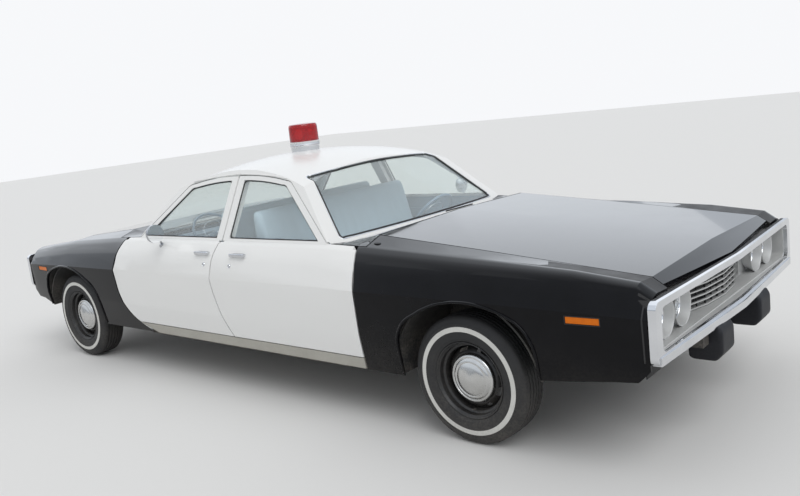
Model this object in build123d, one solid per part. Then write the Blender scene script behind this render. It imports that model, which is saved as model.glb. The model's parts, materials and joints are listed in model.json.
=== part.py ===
from build123d import *
import os
from math import cos, hypot, radians, sin

# Double-ended patrol car: two front halves of one saloon, joined at the middle of the cabin.
# Millimetres. +X points to the front end, +Y to its left side, +Z up. The origin lies on the
# ground under the middle of the car. "Front" is the end with the engine and the steering.

os.makedirs("parts", exist_ok=True)

# Overall sizes
HALF_WIDTH = 985
GUARD_REACH = 2745
BODY_END = GUARD_REACH - 55
CABIN_X = -120
WHEELBASE = 3700
ROOF_Z = 1425
BELT_Z = 969
CREASE_Z = 742
SILL_TOP_Z = 362
SILL_FOOT_Z = 300

# Gaps between panels
DOOR_GAP = 8
SEAM_GAP = 10
BACK_DOOR_GAP = 12
DOOR_FLANGE = 10
FIT = 0.3
RUN_FIT = 0.08
SWING = 5

# Panel thicknesses
SKIN = 12
HOOD_SKIN = 22
DOOR_INNER_Y = 845
SHOULDER_CUT = 24
SIDE_CUT = 24
ROOF_SKIN = 30
FRAME_SKIN = 22
FLOOR_SKIN = 14

# Door edges, seen from the side
SEAM_TOP_X = -121
SEAM_CREASE_X = -141
SEAM_FOOT_X = -27
FRONT_EDGE_TOP_X = 1019
FRONT_EDGE_CREASE_X = 1085
FRONT_EDGE_FOOT_X = 1071
BACK_EDGE_TOP_X = -1215
BACK_EDGE_CREASE_X = -1266
BACK_EDGE_FOOT_X = -1090
BACK_EDGE_KNEE_X = -1225
BACK_EDGE_KNEE_Z = 490
DOOR_TOP_Z = 957

# Door hinges
HINGE_AHEAD = 60
HINGE_Y = 940
HINGE_PIN_R = 4
HINGE_KNUCKLE_R = 8
HINGE_HEIGHTS = {1: (495, 778), -1: (582, 778)}
HINGE_LEAF = 12
HINGE_SCOOP_R = 74.5

# Wheels and tyres
TYRE_R = 325
TYRE_W = 190
TYRE_OUTER_Y = 935
RIM_R = 190
RIM_SEAT_R = 178
CAP_R = 125
KINGPIN_Y = 745
ARCH_TOP_Z = 725
ARCH_INNER = 388
ARCH_OUTER = 405
HOUSE_R = 425
HOUSE_INNER_Y = 535

# Hood and nose
HOOD_HALF_WIDTH = 718
HOOD_GAP = 6
HOOD_BACK = 1213
HOOD_NOSE_X = BODY_END - 56
HOOD_APEX_X = BODY_END - 10
HOOD_HINGE_BACK = 23
HOOD_HINGE_Z = 995
HOOD_HINGE_Y = 180
HOOD_KNUCKLE_R = 6
HOOD_PIN_R = 3
FENDER_END = BODY_END - 36

# Bumper loop, in YZ
LOOP_HALF_WIDTH = 945
LOOP_TOP_Z = 788
LOOP_FOOT_Z = 523
LOOP_BAR_TOP = 30
LOOP_BAR_FOOT = 46
LOOP_BAR_SIDE = 52
LOOP_BACK_X = BODY_END - 32
LOOP_SIDE_X = BODY_END + 2
LOOP_APEX_X = BODY_END + 32
LOOP_LIP_X = BODY_END + 48
LOOP_CORNER_R = 34

# Grille and lamps
PANEL_X = BODY_END - 110
PANEL_SKIN = 14
GRILLE_HALF_WIDTH = 395
GRILLE_BARS = 7
GRILLE_BAR = 6
GRILLE_BOW = 62
GRILLE_POSTS = 11
LAMP_R = 71
LAMP_YS = (520, 712)
GUARD_Y = 285
GUARD_HALF = 85
GUARD_FOOT_Z = 362
GUARD_TOP_Z = 532
GUARD_DEPTH = 160

# Marker lamps
MARKER_BACK_X = BODY_END - 382
MARKER_FRONT_X = BODY_END - 232
MARKER_FOOT_Z = 682
MARKER_TOP_Z = 712

# Greenhouse
SIDE_BASE_Y = 850
SIDE_TOP_Y = 665
SIDE_TOP_Z = 1307
ROOF_LONG_R = 2070
ROOF_CROSS_R = 3550
SCREEN_BASE = 1005
SCREEN_BASE_Z = 947
SCREEN_TOP = 570
SCREEN_TOP_Z = 1342
SCREEN_BOW_R = 10000
GLASS = 6
GLASS_DEPTH = 9

# Roof light
LIGHT_X = -178
LIGHT_BASE_R = 98
LIGHT_LENS_R = 103
LIGHT_BASE_TOP_Z = 1461
LIGHT_TOP_Z = 1611

# Cabin
SEAT_HALF_WIDTH = 700
WHEEL_RIM_R = 195
WHEEL_REL_X = 700
WHEEL_Z = 890
WHEEL_Y = 370
COLUMN_TILT = 40

# Inner structure
DOOR_STEP = 22
FRAME_GAP = 6
POST_DEPTH = 62
FLOOR_Z = 276
RAIL_Z = 205
TUNNEL_HALF_WIDTH = 150
TUNNEL_TOP_Z = 450
BULKHEAD_X = 975
WALL_TOP_Z = 1000
POST_TOP_Z = 918
SILL_INNER_Y = 860
SILL_FRONT_X = 1065
SILL_BACK_TOP_X = -1082
SILL_BACK_FOOT_X = -893
FENDER_FOOT_FRONT = 1079
FENDER_FOOT_BACK = -905
COWL_HALF_WIDTH = 838

# Rails, suspension and spindles
RAIL_INNER_Y = 375
RAIL_OUTER_Y = 445
RAIL_END_X = BODY_END - 90
SPINDLE_R = 20
PIN_R = 9
ARM_LOW_Z = 246
ARM_HIGH_Z = 430

# Door mirrors
MIRROR_X = 525
MIRROR_Y = 996
MIRROR_R = 60
MIRROR_Z = 1017
MIRROR_FOOT_X = 612
MIRROR_FOOT_Y = 893
MIRROR_FOOT_Z = 918

FRONT_AXLE_X = CABIN_X + WHEELBASE / 2
BACK_AXLE_X = CABIN_X - WHEELBASE / 2
TYRE_MID_Y = TYRE_OUTER_Y - TYRE_W / 2

# One row per station of the body's outer skin. The first column is the distance from the
# cabin's middle, or, where it is negative, the distance back from the nose.
# Columns: x, z_mid, z_gap, y_edge, z_edge, y_crease, z_crease, y_low, z_low, y_foot
STATIONS = (
    (0, 936, 938, 872, 962, 985, 742, 967, 500, 932),
    (920, 936, 938, 872, 962, 985, 742, 967, 500, 932),
    (1205, 1004, 989, 866, 940, 985, 742, 967, 500, 932),
    (1850, 945, 927, 866, 908, 983, 738, 966, 500, 930),
    (-390, 886, 868, 868, 882, 978, 732, 962, 500, 925),
    (-100, 855, 838, 866, 846, 958, 722, 945, 500, 915),
    (-35, 807, 794, 858, 802, 946, 716, 935, 500, 905),
    (-1, 787, 774, 850, 782, 938, 714, 928, 500, 900),
)


def write(name, *solids):
    """Write one node as a STEP file."""
    shape = Compound(children=list(solids)) if len(solids) > 1 else solids[0]
    export_step(shape, os.path.join("parts", name + ".step"))


def one(shape):
    """The single largest solid of a boolean's result."""
    return max(shape.solids(), key=lambda solid: solid.volume)


def path_wire(points, place):
    """Closed wire: (u, v) is a line's end, (um, vm, u, v) an arc's middle and end."""
    edges = []
    here = points[0]
    for step in points[1:] + [points[0]]:
        end = tuple(step[-2:])
        if len(step) == 4:
            edges.append(Edge.make_three_point_arc(place(here), place(step[:2]), place(end)))
        elif hypot(end[0] - here[0], end[1] - here[1]) > 1e-6:
            edges.append(Edge.make_line(place(here), place(end)))
        here = end
    return Wire(edges)


def side_prism(points, y0, y1):
    """Solid with an outline in XZ, between two values of y."""
    face = Face(path_wire(points, lambda p: (p[0], y0, p[1])))
    return Solid.extrude(face, Vector(0, y1 - y0, 0))


def cross_prism(points, x0, x1):
    """Solid with an outline in YZ, between two values of x."""
    face = Face(path_wire(points, lambda p: (x0, p[0], p[1])))
    return Solid.extrude(face, Vector(x1 - x0, 0, 0))


def plan_prism(points, z0, z1):
    """Solid with an outline in XY, between two heights."""
    face = Face(path_wire(points, lambda p: (p[0], p[1], z0)))
    return Solid.extrude(face, Vector(0, 0, z1 - z0))


def block(x0, x1, y0, y1, z0, z1):
    """Box between two corners, given in any order."""
    return plan_prism([(x0, y0), (x1, y0), (x1, y1), (x0, y1)], z0, z1)


def across(shape):
    """The same piece on the other side of the car."""
    return shape.mirror(Plane.XZ)


def lathe_y(points, x, z):
    """Solid turned about a line along y, from (radius, y) points."""
    face = Face(path_wire(points, lambda p: (x + p[0], p[1], z)))
    return Solid.revolve(face, 360, Axis((x, 0, z), (0, 1, 0)))


def lathe_z(points, x, y):
    """Solid turned about a vertical line, from (radius, z) points."""
    face = Face(path_wire(points, lambda p: (x + p[0], y, p[1])))
    return Solid.revolve(face, 360, Axis((x, y, 0), (0, 0, 1)))


def lathe_x(points, y, z):
    """Solid turned about a line along x, from (x, radius) points."""
    face = Face(path_wire(points, lambda p: (p[0], y, z + p[1])))
    return Solid.revolve(face, 360, Axis((0, y, z), (1, 0, 0)))


def from_cabin(points, end):
    """Turn distances from the cabin's middle into places at one end."""
    moved = []
    for point in points:
        values = [CABIN_X + end * v if i % 2 == 0 else v for i, v in enumerate(point)]
        moved.append(tuple(values))
    return moved


def at_end(points, end):
    """The same outline at the front or, mirrored, at the back."""
    return [tuple(end * v if i % 2 == 0 else v for i, v in enumerate(p)) for p in points]


# Outer form of the lower body

def along_body(end, distance):
    """Place along the car: from the cabin's middle, or back from the nose if negative."""
    if distance < 0:
        return end * (BODY_END + distance)
    return CABIN_X + end * distance


def cut_corner(points, index, length):
    """Replace one corner by two, each a length away along its side."""
    here = Vector(*points[index], 0)
    back = (Vector(*points[index - 1], 0) - here).normalized() * length
    ahead = (Vector(*points[index + 1], 0) - here).normalized() * length
    pair = [((here + back).X, (here + back).Y), ((here + ahead).X, (here + ahead).Y)]
    return points[:index] + pair + points[index + 1:]


def body_section(end, row, inset, foot_z):
    """Closed section of the body at one station, pulled in by a skin's thickness."""
    distance, z_mid, z_gap, y_edge, z_edge, y_crease, z_crease, y_low, z_low, y_foot = row
    x = along_body(end, distance)
    half = [
        (HOOD_HALF_WIDTH + HOOD_GAP / 2, z_gap - inset),
        (y_edge - inset * 0.9, z_edge - inset * 0.9),
        ((y_edge + y_crease) / 2 + 14 - inset, z_edge - 0.42 * (z_edge - z_crease)),
        (y_crease - inset, z_crease),
        (y_low - inset, z_low),
        (y_foot - inset, foot_z),
    ]
    half = cut_corner(half, 2, SIDE_CUT)
    half = cut_corner(half, 1, SHOULDER_CUT)
    half = cut_corner(half, 2, SHOULDER_CUT * 0.36)
    half = cut_corner(half, 1, SHOULDER_CUT * 0.36)
    points = [(0, z_mid - inset)] + half + [(-y, z) for y, z in reversed(half)]
    return Wire.make_polygon([(x, y, z) for y, z in points], close=True)


def body_form(inset, foot_z):
    """The body's outer form, both ends."""
    halves = []
    for end in (1, -1):
        sections = [body_section(end, row, inset, foot_z) for row in STATIONS]
        halves.append(Solid.make_loft(sections, ruled=True))
    return one(halves[0] + halves[1])


OUTER = body_form(0, SILL_FOOT_Z)
INNER = body_form(SKIN, SILL_FOOT_Z - 80)
HOOD_INNER = body_form(HOOD_SKIN, SILL_FOOT_Z - 80)
UNDER_HOOD = body_form(HOOD_SKIN + FIT, SILL_FOOT_Z - 80)
UNDER_SKIN = body_form(SKIN + FIT, SILL_FOOT_Z - 80)


# Greenhouse

def screen_cylinder(end, inset):
    """The cylinder whose near side is a windscreen's surface, pulled in by inset."""
    run = SCREEN_BASE - SCREEN_TOP
    rise = SCREEN_TOP_Z - SCREEN_BASE_Z
    length = hypot(run, rise)
    along = Vector(-end * run / length, 0, rise / length)
    inward = Vector(-end * rise / length, 0, -run / length)
    base = Vector(CABIN_X + end * SCREEN_BASE, 0, SCREEN_BASE_Z)
    start = base + inward * SCREEN_BOW_R - along * 3000
    frame = Plane(origin=start, x_dir=(0, 1, 0), z_dir=along)
    return Solid.make_cylinder(SCREEN_BOW_R - inset, 6000, frame)


def cabin_core(inset):
    """Roof and side glass planes as one solid, pulled in by inset."""
    lean = (SIDE_BASE_Y - SIDE_TOP_Y) / (SIDE_TOP_Z - BELT_Z)
    low, high = BELT_Z - 80, ROOF_Z + 60
    side = inset * hypot(1, lean)
    low_y = SIDE_BASE_Y - (low - BELT_Z) * lean - side
    high_y = SIDE_BASE_Y - (high - BELT_Z) * lean - side
    tub = cross_prism(
        [(low_y, low), (high_y, high), (-high_y, high), (-low_y, low)],
        CABIN_X - 1300,
        CABIN_X + 1300,
    )
    reach = 900
    crown_z = ROOF_Z - inset
    cross_r = ROOF_CROSS_R - inset
    edge_z = crown_z - cross_r + (cross_r**2 - reach**2) ** 0.5
    centre_z = ROOF_Z - ROOF_LONG_R
    face = Face(path_wire(
        [(-reach, edge_z), (0, crown_z, reach, edge_z), (reach, centre_z + 900),
         (-reach, centre_z + 900)],
        lambda p: (CABIN_X, p[0], p[1]),
    ))
    crown = Solid.revolve(face, 360, Axis((CABIN_X, 0, centre_z), (0, 1, 0)))
    return one(tub & crown)


def greenhouse(inset):
    """The core cut by both windscreens' surfaces."""
    shape = one(cabin_core(inset) & screen_cylinder(1, inset))
    return one(shape & screen_cylinder(-1, inset))


SHELL = {inset: greenhouse(inset) for inset in (
    0, ROOF_SKIN, GLASS_DEPTH, GLASS_DEPTH + GLASS, POST_DEPTH
)}
CORE = {inset: cabin_core(inset) for inset in (FRAME_SKIN, GLASS_DEPTH + GLASS)}


def frame_outline(grow, start):
    """A door's window frame from the side, as distances from the cabin's middle."""
    low = BELT_Z - 60
    slope = (1279 - BELT_Z) / (914 - 512)
    return [
        (start, low),
        (914 + 1.7 * grow + (BELT_Z - low) / slope, low),
        (512 + grow, 1279 + grow / 2),
        (484 + grow / 2, 1289 + grow, 452, 1294 + grow),
        (240, 1323 + grow, start, 1332 + grow),
    ]


def window_outline(grow):
    """A door's window from the side, as distances from the cabin's middle."""
    return [
        (62 - grow, BELT_Z - grow),
        (858 + 2.3 * grow, BELT_Z - grow),
        (490 + grow, 1252 + grow / 2),
        (466 + grow / 2, 1268 + grow, 432, 1273 + grow),
        (240, 1298 + grow, 62 - grow, 1307 + grow),
    ]


def screen_outline(grow):
    """A windscreen seen from the front."""
    return [
        (-725 - grow, SCREEN_BASE_Z + 14 - grow),
        (725 + grow, SCREEN_BASE_Z + 14 - grow),
        (745 + grow, SCREEN_BASE_Z + 20, 748 + grow, SCREEN_BASE_Z + 38),
        (598 + grow, 1272),
        (590 + grow, 1298, 562, 1304 + grow),
        (0, 1333 + grow, -562, 1304 + grow),
        (-590 - grow, 1298, -598 - grow, 1272),
        (-748 - grow, SCREEN_BASE_Z + 38),
        (-745 - grow, SCREEN_BASE_Z + 20, -725 - grow, SCREEN_BASE_Z + 14 - grow),
    ]


# Door outlines below the belt

def hinge_edge(end, shift):
    """A door's hinge-side edge from foot to top, moved outward by shift."""
    s = end * shift
    foot = SILL_TOP_Z + 6
    top = DOOR_TOP_Z + 8
    if end > 0:
        return [
            (FRONT_EDGE_FOOT_X + s, foot),
            (FRONT_EDGE_CREASE_X + s, CREASE_Z),
            (FRONT_EDGE_CREASE_X - 20 + s, 862, FRONT_EDGE_TOP_X + s, top),
        ]
    return [
        (BACK_EDGE_FOOT_X + s, foot),
        (BACK_EDGE_KNEE_X + s, BACK_EDGE_KNEE_Z, BACK_EDGE_CREASE_X + s, CREASE_Z - 90),
        (BACK_EDGE_CREASE_X + 2 + s, CREASE_Z + 60, BACK_EDGE_TOP_X + s, top),
    ]


def door_outline(end, inset):
    """A door below the belt, seen from the side."""
    foot = SILL_TOP_Z + 6 + inset
    s = end * (SEAM_GAP / 2 + inset)
    edge = hinge_edge(end, -inset)
    top = BELT_Z + 40
    return [
        (SEAM_FOOT_X + s, foot),
        (edge[0][0], foot),
        *edge[1:],
        (edge[-1][-2], top),
        (SEAM_TOP_X + s, top),
        (SEAM_TOP_X + s, DOOR_TOP_Z + 8),
        (SEAM_CREASE_X - 1 + s, 815, SEAM_CREASE_X + 3 + s, 690),
        (SEAM_CREASE_X + 42 + s, 520, SEAM_FOOT_X + s, foot),
    ]


# Doors: outer panel, inner box, window frame and hinge arms

def edge_reach(end):
    """How far a door's hinge-side edge reaches from the car's middle."""
    points = hinge_edge(end, 0)
    shape = Face(path_wire(points + [(0, points[-1][-1]), (0, points[0][1])],
                           lambda p: (p[0], 0, p[1])))
    box = shape.bounding_box()
    return box.max.X if end > 0 else box.min.X


def hinge_x(end):
    return edge_reach(end) + end * HINGE_AHEAD


def door(end):
    """Right-hand door of one end, closed."""
    panel = side_prism(door_outline(end, 0), -HALF_WIDTH - 10, -DOOR_INNER_Y - 22)
    inner = side_prism(door_outline(end, DOOR_STEP), -DOOR_INNER_Y - 60, -DOOR_INNER_Y)
    low = block(-BODY_END, BODY_END, -HALF_WIDTH - 10, -500, SILL_FOOT_Z, BELT_Z)
    shape = one(one(panel + inner) & OUTER)
    shape = one(shape & low)
    deep = side_prism(door_outline(end, -3), -HALF_WIDTH - 10, -DOOR_INNER_Y - 20)
    deep = deep - side_prism(door_outline(end, DOOR_FLANGE), -HALF_WIDTH - 12, -DOOR_INNER_Y - 18)
    shape = one(shape - (deep & INNER))
    ring = SHELL[0] - CORE[FRAME_SKIN]
    frame = one(ring & side_prism(
        from_cabin(frame_outline(0, FRAME_GAP), end), -HALF_WIDTH, -500
    ))
    frame = one(frame - side_prism(from_cabin(window_outline(0), end), -HALF_WIDTH, -500))
    frame = one(frame & block(-BODY_END, BODY_END, -HALF_WIDTH, -500, BELT_Z - 14, ROOF_Z))
    frame = one(frame - block(
        SEAM_TOP_X - 7, SEAM_TOP_X + 7, -HALF_WIDTH, -500, BELT_Z - 60, BELT_Z + 14
    ))
    shape = one(shape + frame)
    x = hinge_x(end)
    scoop = Solid.make_cylinder(HINGE_SCOOP_R, 900, Plane((x, -HINGE_Y, SILL_FOOT_Z)))
    shape = one(shape - scoop)
    box_x = x - end * (HINGE_AHEAD + DOOR_STEP + 30)
    for z in HINGE_HEIGHTS[end]:
        top = z + HINGE_LEAF
        reach = block(x - 8, x + 8, -HINGE_Y, -HINGE_Y + 86, z, top)
        leg = block(box_x, x, -HINGE_Y + 66, -HINGE_Y + 86, z, top)
        knuckle = Solid.make_cylinder(HINGE_KNUCKLE_R, HINGE_LEAF, Plane((x, -HINGE_Y, z)))
        hole = Solid.make_cylinder(
            HINGE_PIN_R + RUN_FIT, HINGE_LEAF * 3, Plane((x, -HINGE_Y, z - HINGE_LEAF))
        )
        shape = one(shape + reach + leg + knuckle)
        shape = one(shape - hole)
    return shape


def door_glass(end):
    """Right-hand door's window, set in its frame."""
    slab = SHELL[GLASS_DEPTH] - CORE[GLASS_DEPTH + GLASS]
    return one(slab & side_prism(from_cabin(window_outline(-FIT), end), -HALF_WIDTH, -500))


RIGHT_DOORS = {end: door(end) for end in (1, -1)}
for end, name in ((1, "front"), (-1, "back")):
    right_glass = door_glass(end)
    write(name + "_right_door", RIGHT_DOORS[end])
    write(name + "_left_door", across(RIGHT_DOORS[end]))
    write(name + "_right_door_glass", right_glass)
    write(name + "_left_door_glass", across(right_glass))


# Door mirrors: each half's driver has one, on the door's shoulder

def rod(start, end, radius):
    """Round bar between two points."""
    axis = Vector(*end) - Vector(*start)
    return Solid.make_cylinder(radius, axis.length, Plane(origin=start, z_dir=axis))


def mirror(end):
    """Mirror on a right-hand door."""
    x = CABIN_X + end * MIRROR_X
    foot_x = CABIN_X + end * MIRROR_FOOT_X
    foot = lathe_z([(0, MIRROR_FOOT_Z - 35), (22, MIRROR_FOOT_Z - 35), (22, MIRROR_FOOT_Z + 6),
                    (14, MIRROR_FOOT_Z + 14), (0, MIRROR_FOOT_Z + 14)], foot_x, -MIRROR_FOOT_Y)
    stalk = rod((foot_x, -MIRROR_FOOT_Y, MIRROR_FOOT_Z + 6), (x, -MIRROR_Y, MIRROR_Z), 7)
    foot = one(one(foot + stalk) - RIGHT_DOORS[end])
    head = lathe_x([(x - end * 16, 0), (x - end * 16, MIRROR_R), (x + end * 6, MIRROR_R),
                    (x + end * 22, MIRROR_R * 0.66), (x + end * 28, MIRROR_R * 0.3),
                    (x + end * 29, 0)], -MIRROR_Y, MIRROR_Z)
    return one(foot + head)


write("front_mirror", across(mirror(1)))
write("back_mirror", mirror(-1))


# Roof with its four pillars

def roof():
    shape = one(SHELL[0] - SHELL[ROOF_SKIN])
    shape = one(shape & block(-2000, 2000, -900, 900, SCREEN_BASE_Z - 2, ROOF_Z + 10))
    for end in (1, -1):
        opening = side_prism(from_cabin(frame_outline(SWING, -10), end), -900, 900)
        shape = one(shape - opening)
        x = CABIN_X + end * 300
        shape = one(shape - cross_prism(screen_outline(0), x, CABIN_X + end * 1400))
    for side in (1, -1):
        foot = block(-1300, 1300, side * COWL_HALF_WIDTH, side * 900, 900, BELT_Z - 3)
        shape = one(shape - foot)
    return shape


def windscreen(end):
    slab = SHELL[GLASS_DEPTH] - SHELL[GLASS_DEPTH + GLASS]
    x = CABIN_X + end * 300
    return one(slab & cross_prism(screen_outline(-FIT), x, CABIN_X + end * 1400))


write("roof_shell", roof())
write("windscreens", windscreen(1), windscreen(-1))


# Door posts: centre posts up to the roof, hinge posts with their pins

def centre_post():
    low = block(CABIN_X - 45, CABIN_X + 45, -838, -785, FLOOR_Z, BELT_Z - 35)
    ring = SHELL[ROOF_SKIN] - SHELL[POST_DEPTH]
    high = one(ring & block(CABIN_X - 40, CABIN_X + 40, -900, -500, BELT_Z - 45, ROOF_Z))
    return one(low + high)


def hinge_post(end):
    x = hinge_x(end)
    wall_x = CABIN_X + end * BULKHEAD_X
    post = block(x - end * 50, x + end * 45, -838, -790, SILL_FOOT_Z, POST_TOP_Z)
    panel = block(wall_x, x + end * 45, -838, -824, FLOOR_Z, POST_TOP_Z)
    tab = block(x + end * 30, x + end * 45, -HALF_WIDTH, -830, 590, 650)
    shape = one(post + panel + one(tab & UNDER_SKIN))
    for z in HINGE_HEIGHTS[end]:
        low = z - HINGE_LEAF
        leaf = block(x - end * 8, x + end * 25, -HINGE_Y - 8, -830, low, low + HINGE_LEAF - FIT)
        pin = Solid.make_cylinder(HINGE_PIN_R, HINGE_LEAF * 2, Plane((x, -HINGE_Y, low)))
        shape = one(shape + leaf + pin)
    return shape


posts = [centre_post(), hinge_post(1), hinge_post(-1)]
write("door_posts", *posts, *[across(post) for post in posts])


# Underbody: floor, tunnel, two bulkheads and two rails that rise over the axles

def underbody():
    wall = BULKHEAD_X
    x0, x1 = CABIN_X - wall, CABIN_X + wall
    shape = block(x0, x1, -858, 858, FLOOR_Z - FLOOR_SKIN, FLOOR_Z)
    w = TUNNEL_HALF_WIDTH
    tunnel = block(x0, x1, -w, w, FLOOR_Z - FLOOR_SKIN, TUNNEL_TOP_Z)
    w -= FLOOR_SKIN
    bore = block(x0 - 10, x1 + 10, -w, w, FLOOR_Z - 100, TUNNEL_TOP_Z - FLOOR_SKIN)
    shape = one(one(shape + tunnel) - bore)
    for end in (1, -1):
        x = CABIN_X + end * wall
        panel = block(x - end * 16, x, -823, 823, FLOOR_Z - FLOOR_SKIN, WALL_TOP_Z)
        shape = one(shape + one(panel & UNDER_HOOD))
        flange = block(x0 + 4, x1 - 4, end * 846, end * (SILL_INNER_Y - FIT),
                       FLOOR_Z - FLOOR_SKIN, SILL_TOP_Z - 6)
        shape = one(shape + flange)
        shape = one(shape - block(x - end * 30, x + end * 10, -w, w, 0,
                                  TUNNEL_TOP_Z - FLOOR_SKIN))
    ends = [
        (RAIL_END_X, 512), (RAIL_END_X, 432), (FRONT_AXLE_X - 420, 432), (FRONT_AXLE_X - 640, RAIL_Z),
        (BACK_AXLE_X + 640, RAIL_Z), (BACK_AXLE_X + 420, 432), (-RAIL_END_X, 432), (-RAIL_END_X, 512),
        (BACK_AXLE_X + 400, 512), (CABIN_X - wall - 4, FLOOR_Z - 4),
        (CABIN_X + wall + 4, FLOOR_Z - 4), (FRONT_AXLE_X - 400, 512),
    ]
    for side in (1, -1):
        shape = one(shape + side_prism(ends, side * RAIL_INNER_Y, side * RAIL_OUTER_Y))
        for axle_x in (FRONT_AXLE_X, BACK_AXLE_X):
            for x in (axle_x - 300, axle_x + 300):
                arm = block(x - 15, x + 15, side * (RAIL_OUTER_Y - 10), side * HOUSE_INNER_Y,
                            450, 490)
                shape = one(shape + arm)
    return shape


write("underbody", underbody())


# Sills

def sill():
    outline = [
        (SILL_FRONT_X, SILL_FOOT_Z), (SILL_FRONT_X + 4, SILL_TOP_Z),
        (SILL_BACK_TOP_X, SILL_TOP_Z), (SILL_BACK_FOOT_X, SILL_FOOT_Z),
    ]
    return one(OUTER & side_prism(outline, -HALF_WIDTH - 10, -SILL_INNER_Y))


write("sills", sill(), across(sill()))


# Wheelhouses over the four wheels

def wheelhouse(axle_x):
    outer = lathe_y([(0, -945), (HOUSE_R, -945), (HOUSE_R, -HOUSE_INNER_Y), (0, -HOUSE_INNER_Y)],
                    axle_x, TYRE_R)
    inner = lathe_y([(0, -960), (HOUSE_R - 10, -960), (HOUSE_R - 10, -HOUSE_INNER_Y - 10),
                     (0, -HOUSE_INNER_Y - 10)], axle_x, TYRE_R)
    shape = one(one(outer - inner) & UNDER_SKIN)
    shape = one(shape & block(axle_x - 600, axle_x + 600, -960, -500, TYRE_R + 60, 900))
    return one(shape - block(axle_x - 140, axle_x + 140, -570, -500, 300, ARM_HIGH_Z + 50))


def arch_outline(end):
    """A wheel arch from the side, as distances from its axle."""
    axle_x = FRONT_AXLE_X if end > 0 else BACK_AXLE_X
    points = [
        (-ARCH_INNER, 200), (-ARCH_INNER, 440), (-352, 566, -252, 642), (0, ARCH_TOP_Z, 330, 652),
        (392, 566, ARCH_OUTER, 440), (ARCH_OUTER, 200),
    ]
    moved = []
    for point in points:
        moved.append(tuple(axle_x + end * v if i % 2 == 0 else v for i, v in enumerate(point)))
    return moved


def marker_block(end, grow):
    """The amber side lamp's place in a right-hand fender."""
    return block(end * (MARKER_BACK_X - grow), end * (MARKER_FRONT_X + grow), -HALF_WIDTH, -900,
                 MARKER_FOOT_Z - grow, MARKER_TOP_Z + grow)


# Fenders: skins from the door to the nose, with the arch cut

def fender(end):
    axle_x = FRONT_AXLE_X if end > 0 else BACK_AXLE_X
    edge = hinge_edge(end, DOOR_GAP if end > 0 else BACK_DOOR_GAP)
    foot_x = FENDER_FOOT_FRONT if end > 0 else FENDER_FOOT_BACK
    knee = [] if end > 0 else [(-1075, 352)]
    region = [
        (foot_x, SILL_FOOT_Z - 20), *knee, *edge, (edge[-1][-2], 1100),
        (end * FENDER_END, 1100), (end * FENDER_END, SILL_FOOT_Z - 20),
    ]
    shape = one(OUTER - INNER)
    shape = one(shape & side_prism(region, -HALF_WIDTH - 10, -700))
    shape = one(shape - side_prism(arch_outline(end), -HALF_WIDTH - 10, -700))
    under = at_end([
        (abs(axle_x) + 380, 200), (abs(axle_x) + 400, 392), (BODY_END - 185, 438),
        (BODY_END - 90, 446), (BODY_END - 30, 506), (BODY_END + 10, 506), (BODY_END + 10, 200),
    ], end)
    shape = one(shape - side_prism(under, -HALF_WIDTH - 10, -700))
    hood_x = CABIN_X + end * HOOD_BACK
    side_y = HOOD_HALF_WIDTH + HOOD_GAP
    shape = one(shape - block(hood_x - end * 20, end * (BODY_END + 110), -side_y, side_y, 200, 1200))
    shape = one(shape - block(0, hood_x, -COWL_HALF_WIDTH - 4, 0, 200, 1200))
    return one(shape - marker_block(end, FIT))


for end, name in ((1, "front"), (-1, "back")):
    skin = fender(end)
    write(name + "_fenders", skin, across(skin))
houses = [wheelhouse(FRONT_AXLE_X), wheelhouse(BACK_AXLE_X)]
write("wheelhouses", *houses, *[across(house) for house in houses])


# Cowls, between a windscreen and a hood

def hood_pin(end, side, radius, half):
    """Round bar along a hood's hinge line, about one hinge."""
    x = CABIN_X + end * (HOOD_BACK - HOOD_HINGE_BACK)
    y = side * HOOD_HINGE_Y
    return rod((x, y - half, HOOD_HINGE_Z), (x, y + half, HOOD_HINGE_Z), radius)


def cowl(end):
    shape = one(OUTER - HOOD_INNER)
    x0 = CABIN_X + end * 940
    x1 = CABIN_X + end * (HOOD_BACK - DOOR_GAP)
    shape = one(shape & block(x0, x1, -COWL_HALF_WIDTH, COWL_HALF_WIDTH, 860, 1100))
    shape = one(shape - SHELL[0])
    hinge = CABIN_X + end * (HOOD_BACK - HOOD_HINGE_BACK)
    for side in (1, -1):
        y = side * HOOD_HINGE_Y
        shape = one(shape - block(hinge - end * 12, x1 + end, y - 14, y + 14, 900, 1100))
        shape = one(shape + hood_pin(end, side, HOOD_PIN_R, 17))
    return shape


write("cowls", cowl(1), cowl(-1))


# Hoods, with a ridge along the middle and a nose that comes to a shallow point

def hood(end):
    back = end * (CABIN_X + end * HOOD_BACK)
    w = HOOD_HALF_WIDTH
    outline = at_end(
        [(back, -w), (HOOD_NOSE_X, -w), (HOOD_APEX_X, 0), (HOOD_NOSE_X, w), (back, w)], end
    )
    shape = one(one(OUTER - HOOD_INNER) & plan_prism(outline, 600, 1100))
    hinge = CABIN_X + end * (HOOD_BACK - HOOD_HINGE_BACK)
    for side in (1, -1):
        y = side * HOOD_HINGE_Y
        arm = block(hinge, hinge + end * 40, y - 5, y + 5, HOOD_HINGE_Z - 6, HOOD_HINGE_Z + 6)
        lug = one(one(arm + hood_pin(end, side, HOOD_KNUCKLE_R, 5)) & OUTER)
        shape = one(shape + lug)
        shape = one(shape - hood_pin(end, side, HOOD_PIN_R + RUN_FIT, 30))
    return shape


write("front_hood", hood(1))
write("back_hood", hood(-1))


# Amber side lamps in the fenders

def marker(end):
    return one(one(OUTER - UNDER_SKIN) & marker_block(end, 0))


markers = [marker(1), marker(-1)]
write("marker_lamps", *markers, *[across(lamp) for lamp in markers])


# Loop bumpers: one chrome ring round the grille, wider at the foot, with a shallow point

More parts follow.
